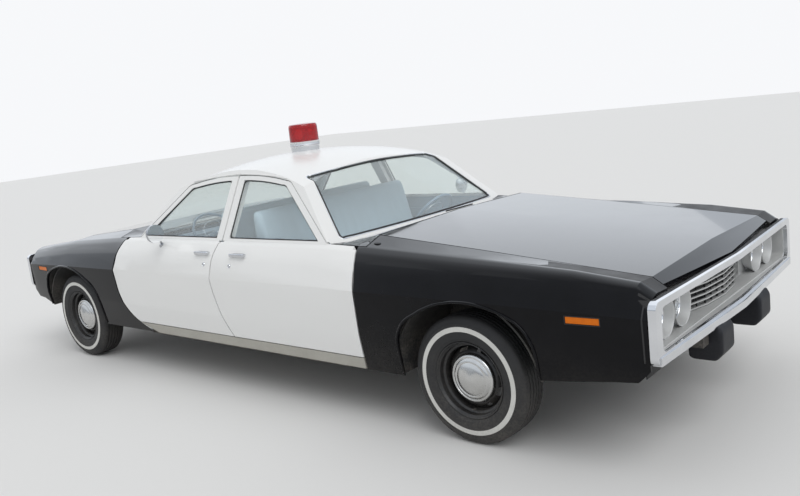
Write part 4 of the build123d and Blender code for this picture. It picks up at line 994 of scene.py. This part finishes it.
cap_section = [(0.1165, 0.034), (0.1195, 0.0355), (0.1245, 0.0375), (0.1250, 0.0405),
               (0.1215, 0.0475), (0.1165, 0.053), (0.1120, 0.0555), (0.1085, 0.0552),
               (0.1070, 0.0535), (0.1045, 0.0535), (0.1020, 0.0560), (0.0960, 0.0600),
               (0.0900, 0.0628), (0.0865, 0.0630), (0.0850, 0.0615), (0.0825, 0.0616),
               (0.0800, 0.0640), (0.0600, 0.0702), (0.0300, 0.0775), (0.0060, 0.0815),
               (0.0, 0.0818)]
valve_section = [(0.0, 0.026), (0.0032, 0.026), (0.0038, 0.014), (0.0052, 0.012),
                 (0.0058, 0.0), (0.0, 0.0)]
wheel_black = aged("wheel_black", (0.014, 0.014, 0.015), 0.3, 0.45, film=(0.55, 0.2),
                   bump=0.03, tone=0.15)
# The caps' chrome is toned darker than bright chrome: painted reflection of dark ground.
cap_chrome_and_painted_reflection = aged("cap_chrome_and_painted_reflection", (0.60, 0.60, 0.59), 0.13, 0.26, film=(0.6, 0.3), bump=0.0,
                  tone=0.1, metallic=1.0)


def cut_slots(mesh, middle):
    """Open the slots through both walls of the disc, and close their edges."""
    gone = []
    for face in mesh.faces:
        spot = face.calc_center_median()
        r, turn = polar(spot, middle)
        depth = abs(spot.y - middle.y)
        if (SLOT_SPAN[0] < turn * SLOTS % 1 < SLOT_SPAN[1] and SLOT_R[0] < r < SLOT_R[1]
                and SLOT_DEPTH[0] < depth < SLOT_DEPTH[1]):
            gone.append(face)
    bmesh.ops.delete(mesh, geom=gone, context="FACES")
    mouths = {}
    for edge in [edge for edge in mesh.edges if edge.is_boundary]:
        r, turn = polar((edge.verts[0].co + edge.verts[1].co) / 2, middle)
        mouths.setdefault(int(turn * SLOTS % SLOTS), []).append(edge)
    for mouth in mouths.values():
        bmesh.ops.bridge_loops(mesh, edges=mouth)


for _, name in ENDS:
    for side, hand in SIDES:
        body = f"{name}_{hand}_wheel"
        middle = middle_of(body)
        outward = (0, side, 0)
        mesh = bmesh.new()
        turned(mesh, steel_rim_section, middle, outward, DISC_STEPS, closed=True)
        turned(mesh, disc_section, middle, outward, DISC_STEPS)
        close_up(mesh)
        cut_slots(mesh, middle)
        for nut in range(NUTS):
            at = math.tau * nut / NUTS
            spot = Vector((math.cos(at) * NUT_CIRCLE_R, side * NUT_Y,
                           math.sin(at) * NUT_CIRCLE_R))
            turned(mesh, nut_section, middle + spot, outward, 6)
        wheel = fitted(mesh, f"{body}_steel", body, "black_steel", wheel_black)
        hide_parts(body)
        mesh = bmesh.new()
        turned(mesh, cap_section, middle, outward, DISC_STEPS)
        fitted(mesh, f"{body}_cap", body, "chrome", cap_chrome_and_painted_reflection)
        mesh = bmesh.new()
        turned(mesh, valve_section, middle + Vector((0.0, side * VALVE_Y, -VALVE_R)),
               (0, side, 0.35), 16)
        fitted(mesh, f"{body}_valve", body, "black_rubber", rubber)


# Bench seats: foam on springs under light blue vinyl, sewn in pleats between plain bolsters.
# Each pad is subdivided, crowned and drawn in along its seams, and lies on a steel frame with
# a vinyl-covered shell behind the back.
SEAT_HALF = 0.69
PLEATS = 16
CROWN = 0.010
CROWN_NEAR = 0.09
PLEAT_NEAR = 0.05
PLEAT_DEEP = 0.006
PLEAT_END = 0.04
PLEAT_EASE = 0.06
PLEATED_WIDTH = 0.97
LONG_EDGE = 0.06
FRAME_X = 0.43
FRAME_Z = 0.374
FRAME_SIZE = (0.42, 1.30, 0.05)
RUNNER_Y = 0.45
RUNNER_Z = 0.318
RUNNER_SIZE = (0.40, 0.05, 0.084)
SHELL_X = 0.150
SHELL_Z = 0.80
SHELL_SIZE = (0.010, 1.34, 0.46)
SHELL_LEAN = 0.09
seat_low = [(0.20, 0.40), (0.655, 0.40), (0.680, 0.50), (0.670, 0.545), (0.630, 0.572),
            (0.330, 0.540), (0.21, 0.545)]
low_pleats = ((0.335, 0.541), (0.63, 0.572))
seat_high = [(0.125, 0.575), (0.315, 0.560), (0.325, 0.60), (0.208, 1.072), (0.190, 1.102),
             (0.160, 1.113), (0.130, 1.100), (0.122, 1.072)]
high_pleats = ((0.325, 0.60), (0.208, 1.072))
blue_vinyl = aged("blue_vinyl", (0.46, 0.60, 0.70), 0.38, 0.5, film=(0.1, 0.0),
                  pebble=(520.0, 0.8), bump=0.28, tone=0.05, sheen_weight=0.08)


def sewn_swell(point, end, pleat_from, pleat_to):
    """How far a pad's surface swells at a point, less where a seam draws it in.

    None for a point that lies away from the line of the pleats."""
    y = point.y / SEAT_HALF
    along = Vector(((point.x - CABIN) * end, point.z)) - Vector(pleat_from)
    span = Vector(pleat_to) - Vector(pleat_from)
    share = along.dot(span) / span.length_squared
    off = abs(along.x * span.y - along.y * span.x) / span.length
    swell = CROWN * (1 - y ** 4) * max(0.0, 1 - (2 * share - 1) ** 4)
    inside = min(share, 1 - share) - PLEAT_END
    if off < PLEAT_NEAR and inside > 0 and abs(y) < PLEATED_WIDTH:
        seam = abs(math.cos(math.pi * (y + 1) / 2 * PLEATS))
        ease = min(1.0, inside / PLEAT_EASE)
        swell -= PLEAT_DEEP * (1 - math.sqrt(1 - seam ** 2 * 0.98)) * ease
    return swell if off < CROWN_NEAR else None


def cushion(name, end, outline, pleats):
    """A vinyl pad from its side outline, crowned and sewn along its line of pleats."""
    mesh = bmesh.new()
    verts = [mesh.verts.new((CABIN + end * u, -SEAT_HALF, z)) for u, z in outline]
    made = bmesh.ops.extrude_face_region(mesh, geom=[mesh.faces.new(verts)])["geom"]
    moved = [part for part in made if isinstance(part, bmesh.types.BMVert)]
    bmesh.ops.translate(mesh, vec=(0, 2 * SEAT_HALF, 0), verts=moved)
    bmesh.ops.recalc_face_normals(mesh, faces=mesh.faces)
    cross = [edge for edge in mesh.edges
             if abs(edge.verts[0].co.y - edge.verts[1].co.y) > SEAT_HALF]
    bmesh.ops.subdivide_edges(mesh, edges=cross, cuts=PLEATS * 4 - 1, use_grid_fill=True)
    sides = [face for face in mesh.faces if abs(face.normal.y) > 0.9]
    bmesh.ops.inset_region(mesh, faces=sides, thickness=0.035, depth=0.012)
    rolled = [edge for edge in mesh.edges if edge.calc_face_angle(0) > math.radians(35)]
    bmesh.ops.bevel(mesh, geom=rolled, offset=0.02, segments=3, profile=0.5,
                    affect="EDGES", material=-1)
    long_edges = [edge for edge in mesh.edges if edge.calc_length() > LONG_EDGE]
    bmesh.ops.subdivide_edges(mesh, edges=long_edges, cuts=2, use_grid_fill=True)
    bmesh.ops.triangulate(mesh, faces=[face for face in mesh.faces if len(face.verts) > 4])
    bmesh.ops.recalc_face_normals(mesh, faces=mesh.faces)
    mesh.normal_update()
    swells = {vert: sewn_swell(vert.co, end, *pleats) for vert in mesh.verts}
    for vert, swell in swells.items():
        if swell is not None:
            vert.co += vert.normal * swell
    for face in mesh.faces:
        face.smooth = True
    pad = stow(mesh, name, blue_vinyl)
    finer = pad.modifiers.new("finer", "SUBSURF")
    finer.levels = 1
    finer.render_levels = 1
    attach(pad, "car_body")
    return pad


for end, name in ENDS:
    pad = cushion(name + "_seat_cushion", end, seat_low, low_pleats)
    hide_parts(name + "_seat")
    cushion(name + "_seat_back", end, seat_high, high_pleats)
    frame_x = CABIN + end * FRAME_X
    boxes(name + "_seat_frame", "car_body", "black_steel", black_steel,
          ((frame_x, 0, FRAME_Z), FRAME_SIZE, 0.012),
          ((frame_x, -RUNNER_Y, RUNNER_Z), RUNNER_SIZE, 0.004),
          ((frame_x, RUNNER_Y, RUNNER_Z), RUNNER_SIZE, 0.004))
    lean = Matrix.Rotation(-end * SHELL_LEAN, 3, "Y")
    boxes(name + "_seat_shell", "car_body", "blue_trim", blue_trim,
          ((CABIN + end * SHELL_X, 0, SHELL_Z), SHELL_SIZE, 0.004, lean))


# Dashboards: a padded vinyl shelf over a moulded face, screwed to the cowl. Bright trim rings
# two dials in front of the driver, and there are three knobs, a radio with a bright bar,
# vents and the lid of a glove box.
DRIVER_Y = middle_of("front_steering_wheel").y
DIAL_OFF = 0.085
DIAL_Z = 0.842
FACE_X = 0.834
KNOB_YS = (-0.07, 0.02, 0.11)
KNOB_Z = 0.745
RADIO_Z = 0.785
RADIO_SIZE = (0.008, 0.19, 0.05)
RADIO_BAR_Z = 0.822
RADIO_BAR_SIZE = (0.008, 0.20, 0.012)
VENT_YS = (0.30, 0.66)
VENT_BAR_Z = 0.855
VENT_BAR_SIZE = (0.010, 0.11, 0.006)
VENT_SIZE = (0.008, 0.10, 0.005)
VENT_TOP_Z = 0.842
VENT_PITCH = 0.011
GLOVE_Y = 0.47
GLOVE_Z = 0.745
GLOVE_SIZE = (0.008, 0.34, 0.11)
CATCH_Z = 0.79
CATCH_SIZE = (0.012, 0.03, 0.012)
dial_ring_section = [(0.052, 0.0), (0.052, 0.012), (0.056, 0.014), (0.060, 0.010), (0.060, 0.0)]
dial_section = [(0.0, 0.004), (0.053, 0.004), (0.053, 0.0), (0.0, 0.0)]
knob_section = [(0.0, 0.018), (0.009, 0.018), (0.011, 0.014), (0.011, 0.0)]
dial_black, tree, shader = surface("dial_face", (0.02, 0.02, 0.022), 0.35)
dulled(tree, shader, 80.0, 2.0, 0.5, (0.4, 0.7), (0.3, 0.42))
for end, name in ENDS:
    pressed(name + "_dashboard", "blue_trim", blue_trim, ease=0.004)
    face_x = CABIN + end * FACE_X
    dial_ys = (end * DRIVER_Y - DIAL_OFF, end * DRIVER_Y + DIAL_OFF)
    inward = (-end, 0, 0)
    mesh = bmesh.new()
    for y in dial_ys:
        turned(mesh, dial_ring_section, (face_x, y, DIAL_Z), inward, 48, closed=True)
    for y in KNOB_YS:
        turned(mesh, knob_section, (face_x, y - end * 0.02, KNOB_Z), inward, 24)
    slab(mesh, (face_x - end * 0.004, 0.0, RADIO_BAR_Z), RADIO_BAR_SIZE, 0.002)
    for y in VENT_YS:
        slab(mesh, (face_x - end * 0.004, -end * y, VENT_BAR_Z), VENT_BAR_SIZE, 0.002)
    slab(mesh, (face_x - end * 0.006, -end * GLOVE_Y, CATCH_Z), CATCH_SIZE, 0.003)
    fitted(mesh, name + "_dashboard_brightwork", "car_body", "chrome", chrome)
    mesh = bmesh.new()
    for y in dial_ys:
        turned(mesh, dial_section, (face_x, y, DIAL_Z), inward, 48)
    slab(mesh, (face_x - end * 0.003, 0.0, RADIO_Z), RADIO_SIZE, 0.003)
    for y in VENT_YS:
        for row in range(3):
            slab(mesh, (face_x - end * 0.003, -end * y, VENT_TOP_Z - row * VENT_PITCH),
                 VENT_SIZE, 0.001)
    fitted(mesh, name + "_dashboard_dials", "car_body", "black_steel", dial_black)
    boxes(name + "_glove_lid", "car_body", "blue_trim", blue_trim,
          ((face_x - end * 0.002, -end * GLOVE_Y, GLOVE_Z), GLOVE_SIZE, 0.004))


# Steering wheels: a thin rim of hard blue plastic moulded over a steel ring, on two spokes
# with a padded centre. A bright ring for the horn lies inside the rim, clipped to the spokes.
COLUMN_TILT = math.radians(40)
RIM_R = 0.184
RIM_THICK = 0.0098
HORN_R = 0.110
HORN_THICK = 0.0024
HORN_ABOVE = 0.010
SPOKE_SIZE = (0.355, 0.028, 0.009)
PAD_SIZE = (0.150, 0.034, 0.020)
CLIP_SIZE = (0.034, 0.008, 0.003)
CLIP_Y = 0.093
hub_section = [(0.0, -0.0165), (0.018, -0.0160), (0.027, -0.012), (0.031, -0.004),
               (0.031, 0.012), (0.026, 0.0165), (0.0, 0.0165)]
button_section = [(0.0, -0.0185), (0.010, -0.018), (0.013, -0.0165), (0.0, -0.0160)]
wheel_blue = aged("wheel_blue", (0.16, 0.25, 0.35), 0.3, 0.42, film=(0.1, 0.0),
                  pebble=(300.0, 0.2), bump=0.05)


def ring_section(radius, thick, high, sides):
    """The round section of a ring, as (radius, distance along the axis)."""
    turns = [math.tau * step / sides for step in range(sides)]
    return [(radius + thick * math.cos(at), high + thick * math.sin(at)) for at in turns]


for end, name in ENDS:
    body = name + "_steering_wheel"
    down = Vector((end * math.cos(COLUMN_TILT), 0, -math.sin(COLUMN_TILT)))
    hub = middle_of(body)
    low = down.cross(Vector((0, 1, 0))).normalized()
    tilt = Matrix((Vector((0, -1, 0)), low, -down)).transposed()
    mesh = bmesh.new()
    turned(mesh, ring_section(RIM_R, RIM_THICK, 0.0, 12), hub, down, 96, closed=True)
    slab(mesh, hub, SPOKE_SIZE, 0.0042, tilt)
    slab(mesh, hub, PAD_SIZE, 0.009, tilt)
    turned(mesh, hub_section, hub, down, 48)
    wheel = fitted(mesh, name + "_wheel_rim", body, "blue_trim", wheel_blue)
    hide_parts(body)
    mesh = bmesh.new()
    turned(mesh, ring_section(HORN_R, HORN_THICK, -HORN_ABOVE, 8), hub, down, 72, closed=True)
    turned(mesh, button_section, hub, down, 32)
    for way in (-1, 1):
        slab(mesh, hub + Vector((0, way * CLIP_Y, 0)) - down * 0.0095, CLIP_SIZE, 0.001, tilt)
    fitted(mesh, name + "_horn_ring", body, "chrome", chrome)


# Wheel-arch lips and liners: the fender skins' own edge, rolled out into a rounded flange and
# painted with them. A sprayed steel strip joins each lip to the wheelhouse inside.
LIP_R = 0.0075
LIP_IN = 0.006
LIP_FROM = -14
LIP_TO = 194
LIP_EVERY = 4
ARCH_FROM_R = 0.345
ARCH_STEP = 0.002
ARCH_STEPS = 110
FENDER_Y = 0.88
LINER_FROM = 0.010
LINER_Y = 0.745
LINER_THICK = 0.0015
under_black = aged("under_black", (0.018, 0.018, 0.018), 0.7, 0.85, film=(0.7, 0.9),
                   pebble=(120.0, 0.7), bump=0.25)


def arch_edge(skins, side, hub, turn):
    """The fender's edge over a wheel in one direction, or None where there is no skin."""
    way = Vector((math.cos(turn), 0, math.sin(turn)))
    for step in range(ARCH_STEPS):
        reach = ARCH_FROM_R + step * ARCH_STEP
        place = hub + way * reach
        spot = beside(skins, side, place.x, place.z)
        if spot and abs(spot.y) > FENDER_Y:
            place = hub + way * (reach + LIP_IN)
            spot = beside(skins, side, place.x, place.z, SKIN_GAP)
            return spot if spot and abs(spot.y) > FENDER_Y else None
    return None


for _, name in ENDS:
    skins = solid_tree(f"{name}_fenders")
    for side, hand in SIDES:
        hub = middle_of(f"{name}_{hand}_wheel")
        spots = [arch_edge(skins, side, hub, math.radians(degree))
                 for degree in range(LIP_FROM, LIP_TO + 1, LIP_EVERY)]
        run = [spot for spot in spots if spot]
        bead(f"{name}_{hand}_arch_lip", [run], LIP_R, black_paint, "car_body",
             closed=False)
        mesh = bmesh.new()
        chain = [mesh.verts.new(spot - Vector((0, side * LINER_FROM, 0))) for spot in run]
        edges = [mesh.edges.new(pair) for pair in zip(chain, chain[1:])]
        for part in bmesh.ops.extrude_edge_only(mesh, edges=edges)["geom"]:
            if isinstance(part, bmesh.types.BMVert):
                part.co.y = side * LINER_Y
        bmesh.ops.recalc_face_normals(mesh, faces=mesh.faces)
        bmesh.ops.solidify(mesh, geom=list(mesh.faces), thickness=LINER_THICK)
        fitted(mesh, f"{name}_{hand}_arch_liner", "car_body", "black_steel", under_black)


# Bumper fillers: black rubber strips, pressed into the joint between each fender and the side
# of the loop, where they keep the chrome off the paint.
FILLER_R = 0.004
FILLER_X = 2.6335
FILLER_FOOT = 0.535
FILLER_STEP = 0.0155
FILLER_POINTS = 16
FILLER_Y = 0.85
for end, name in ENDS:
    skins = solid_tree(f"{name}_fenders")
    runs = []
    for side, _ in SIDES:
        spots = [beside(skins, side, end * FILLER_X, FILLER_FOOT + FILLER_STEP * step,
                        -SKIN_GAP) for step in range(FILLER_POINTS)]
        runs.append([spot for spot in spots if spot and abs(spot.y) > FILLER_Y])
    bead(f"{name}_loop_fillers", runs, FILLER_R, rubber, "car_body",
         closed=False)


# Marker bezels: thin black rubber seals round the amber lamps. Each is a moulded loop that the
# lamp's flange presses against the fender's skin.
BEZEL_R = 0.0018
BEZEL_PARTS = 6
BEZEL_GAP = 0.003
BEZEL_LONG = 0.156
marker_low, marker_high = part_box("marker_lamps")
bezel_front, bezel_back = marker_high[0] + BEZEL_GAP, marker_high[0] + BEZEL_GAP - BEZEL_LONG
bezel_foot, bezel_top = marker_low[2] - BEZEL_GAP, marker_high[2] + BEZEL_GAP
bezel_corners = [(bezel_back, bezel_foot), (bezel_front, bezel_foot),
                 (bezel_front, bezel_top), (bezel_back, bezel_top)]
for end, name in ENDS:
    skins = solid_tree(f"{name}_fenders")
    runs = []
    for side, _ in SIDES:
        spots = []
        for (x0, z0), (x1, z1) in zip(bezel_corners, bezel_corners[1:] + bezel_corners[:1]):
            for step in range(BEZEL_PARTS):
                share = step / BEZEL_PARTS
                spots.append(beside(skins, side, end * (x0 + (x1 - x0) * share),
                                    z0 + (z1 - z0) * share, SKIN_GAP / 2))
        runs.append([spot for spot in spots if spot])
    bead(f"{name}_marker_bezels", runs, BEZEL_R, rubber, "car_body")


# Wipers: rubber blades in black steel carriers, parked at the foot of each screen in front of
# its driver. Their arms lie below the hood's edge and aren't seen.
BLADE_R = 0.0045
BLADE_X = 1.115
BLADE_PARTS = 9
BLADE_STEP = 0.035
BLADE_LIFT = 0.008
wiper_black = aged("wiper_black", (0.012, 0.012, 0.012), 0.4, 0.55, film=(0.9, 0.1),
                   pebble=(300.0, 0.2), bump=0.04)
screen_foot = solid_tree("cowls", "windscreens")
for end, name in ENDS:
    blade = []
    for step in range(BLADE_PARTS):
        start = (CABIN + end * BLADE_X, end * BLADE_STEP * step, OUTSIDE)
        blade.append(laid(screen_foot, start, (0, 0, -1)) + Vector((0, 0, BLADE_LIFT)))
    bead(f"{name}_wiper_blade", [blade], BLADE_R, wiper_black, "car_body",
         closed=False)


# Washer plug: the small oval cap of the screen washer's filler, moulded in black rubber and
# pushed into the right front fender beside the cowl.
ABOVE_PLUG = (1.135, -0.800, 1.4)
PLUG_STRETCH = (1.7, 1.0, 1.0)
plug_section = [(0.0, 0.003), (0.010, 0.003), (0.013, 0.0015), (0.014, -0.001), (0.0, -0.001)]
spot = laid(solid_tree("front_fenders", "cowls"), ABOVE_PLUG, (0, 0, -1))
mesh = bmesh.new()
turned(mesh, plug_section, spot, (0, 0, 1), 32)
bmesh.ops.scale(mesh, vec=PLUG_STRETCH, verts=mesh.verts, space=Matrix.Translation(-spot))
fitted(mesh, "washer_plug", "car_body", "black_rubber", rubber)


# Door cards: pressed board under blue vinyl with sewn ribs, clipped to the doors' inner skins.
# Each carries a padded armrest, a window winder and a pull, all screwed on.
CARD_X = 0.45
CARD_Z = 0.66
CARD_SIZE = (0.66, 0.008, 0.42)
RIBS_ON_CARD = 5
LOWEST_RIB_Z = 0.56
RIB_SIZE = (0.58, 0.005, 0.022)
RIB_PITCH = 0.032
REST_X = 0.40
REST_Z = 0.735
REST_SIZE = (0.30, 0.058, 0.045)
REST_CROWN = 0.006
WINDER_X = 0.60
WINDER_Z = 0.70
CRANK_SIZE = (0.09, 0.006, 0.014)
PULL_X = 0.20
PULL_Z = 0.80
PULL_SIZE = (0.085, 0.010, 0.018)
boss_section = [(0.0, 0.018), (0.012, 0.018), (0.018, 0.012), (0.020, 0.0)]
grip_section = [(0.0, 0.026), (0.010, 0.025), (0.012, 0.018), (0.007, 0.006), (0.007, 0.0)]
for end, name in ENDS:
    for side, hand in SIDES:
        body = f"{name}_{hand}_door"
        card_x, rest_x = CABIN + end * CARD_X, CABIN + end * REST_X
        inner_y = laid(solid_tree(body), (card_x, 0.0, WINDER_Z), (0, side, 0)).y
        inward = (0, -side, 0)
        ribs = [((card_x, inner_y - side * 0.008, LOWEST_RIB_Z + row * RIB_PITCH), RIB_SIZE,
                 0.002) for row in range(RIBS_ON_CARD)]
        boxes(f"{body}_card", body, "blue_trim", blue_trim,
              ((card_x, inner_y - side * 0.003, CARD_Z), CARD_SIZE, 0.003), *ribs)
        mesh = bmesh.new()
        slab(mesh, (rest_x, inner_y - side * 0.035, REST_Z), REST_SIZE, 0.018, segments=4)
        long_edges = [edge for edge in mesh.edges if edge.calc_length() > LONG_EDGE]
        bmesh.ops.subdivide_edges(mesh, edges=long_edges, cuts=8)
        for vert in mesh.verts:
            share = (vert.co.x - rest_x) / (REST_SIZE[0] / 2)
            vert.co.z += REST_CROWN * (1 - share ** 2) * (1 if vert.co.z > REST_Z else 0.3)
        rest = fitted(mesh, f"{body}_armrest", body, "blue_vinyl", blue_vinyl)
        mesh = bmesh.new()
        hub = Vector((CABIN + end * WINDER_X, inner_y - side * 0.006, WINDER_Z))
        turned(mesh, boss_section, hub, inward, 32)
        slab(mesh, hub + Vector((end * 0.035, -side * 0.014, 0.02)), CRANK_SIZE, 0.003)
        turned(mesh, grip_section, hub + Vector((end * 0.075, -side * 0.015, 0.02)), inward, 24)
        slab(mesh, (CABIN + end * PULL_X, inner_y - side * 0.012, PULL_Z), PULL_SIZE, 0.004)
        fitted(mesh, f"{body}_winder", body, "chrome", chrome)


# Floor, wheelhouses, posts and running gear: the welded underbody, sprayed black below and
# carpeted in the cabin, with an iron engine and axle, a dull steel exhaust and black pressings.
# They keep the forms of their solids.
CABIN_REACH = 0.97
BAY_FROM = 1.0
CARPET_Y = 0.86
CARPET_Z = 0.28
cast_iron = aged("cast_metal", (0.11, 0.115, 0.12), 0.55, 0.75, film=(1.2, 0.7),
                 pebble=(160.0, 0.6), bump=0.3, metallic=0.5)
dull_steel = aged("dull_steel", (0.30, 0.29, 0.28), 0.42, 0.6, film=(1.0, 0.8),
                  pebble=(200.0, 0.3), bump=0.08, metallic=0.9)
carpet = aged("carpet", (0.05, 0.075, 0.11), 0.95, 1.0, film=(0.1, 0.0),
              pebble=(600.0, 0.9), bump=0.6)
pressed("underbody", "black_steel", under_black, carpet, ease=0.0,
        inside=lambda middle, normal: abs(middle.x - CABIN) < CABIN_REACH
        and middle.z > CARPET_Z and abs(middle.y) < CARPET_Y
        and normal.dot(middle - CABIN_MIDDLE) < 0)
pressed("wheelhouses", "black_steel", under_black, ease=0.0)
pressed("door_posts", "white_paint", white_paint, black_steel, ease=0.0,
        inside=lambda middle, normal: abs(middle.x - CABIN) > BAY_FROM
        and (normal.y * middle.y < -0.01 or abs(normal.x) > 0.9))
for node, slot, finish, ease in (
    ("engine", "cast_metal", cast_iron, 0.003),
    ("exhaust", "bright_steel", dull_steel, 0.0),
    ("drive_shaft", "black_steel", under_black, 0.0),
    ("radiator", "black_steel", under_black, 0.002),
    ("front_suspension", "black_steel", under_black, 0.0),
    ("back_axle", "cast_metal", cast_iron, 0.0),
    ("front_right_knuckle", "cast_metal", cast_iron, 0.0),
    ("front_left_knuckle", "cast_metal", cast_iron, 0.0),
):
    pressed(node, slot, finish, ease=ease)
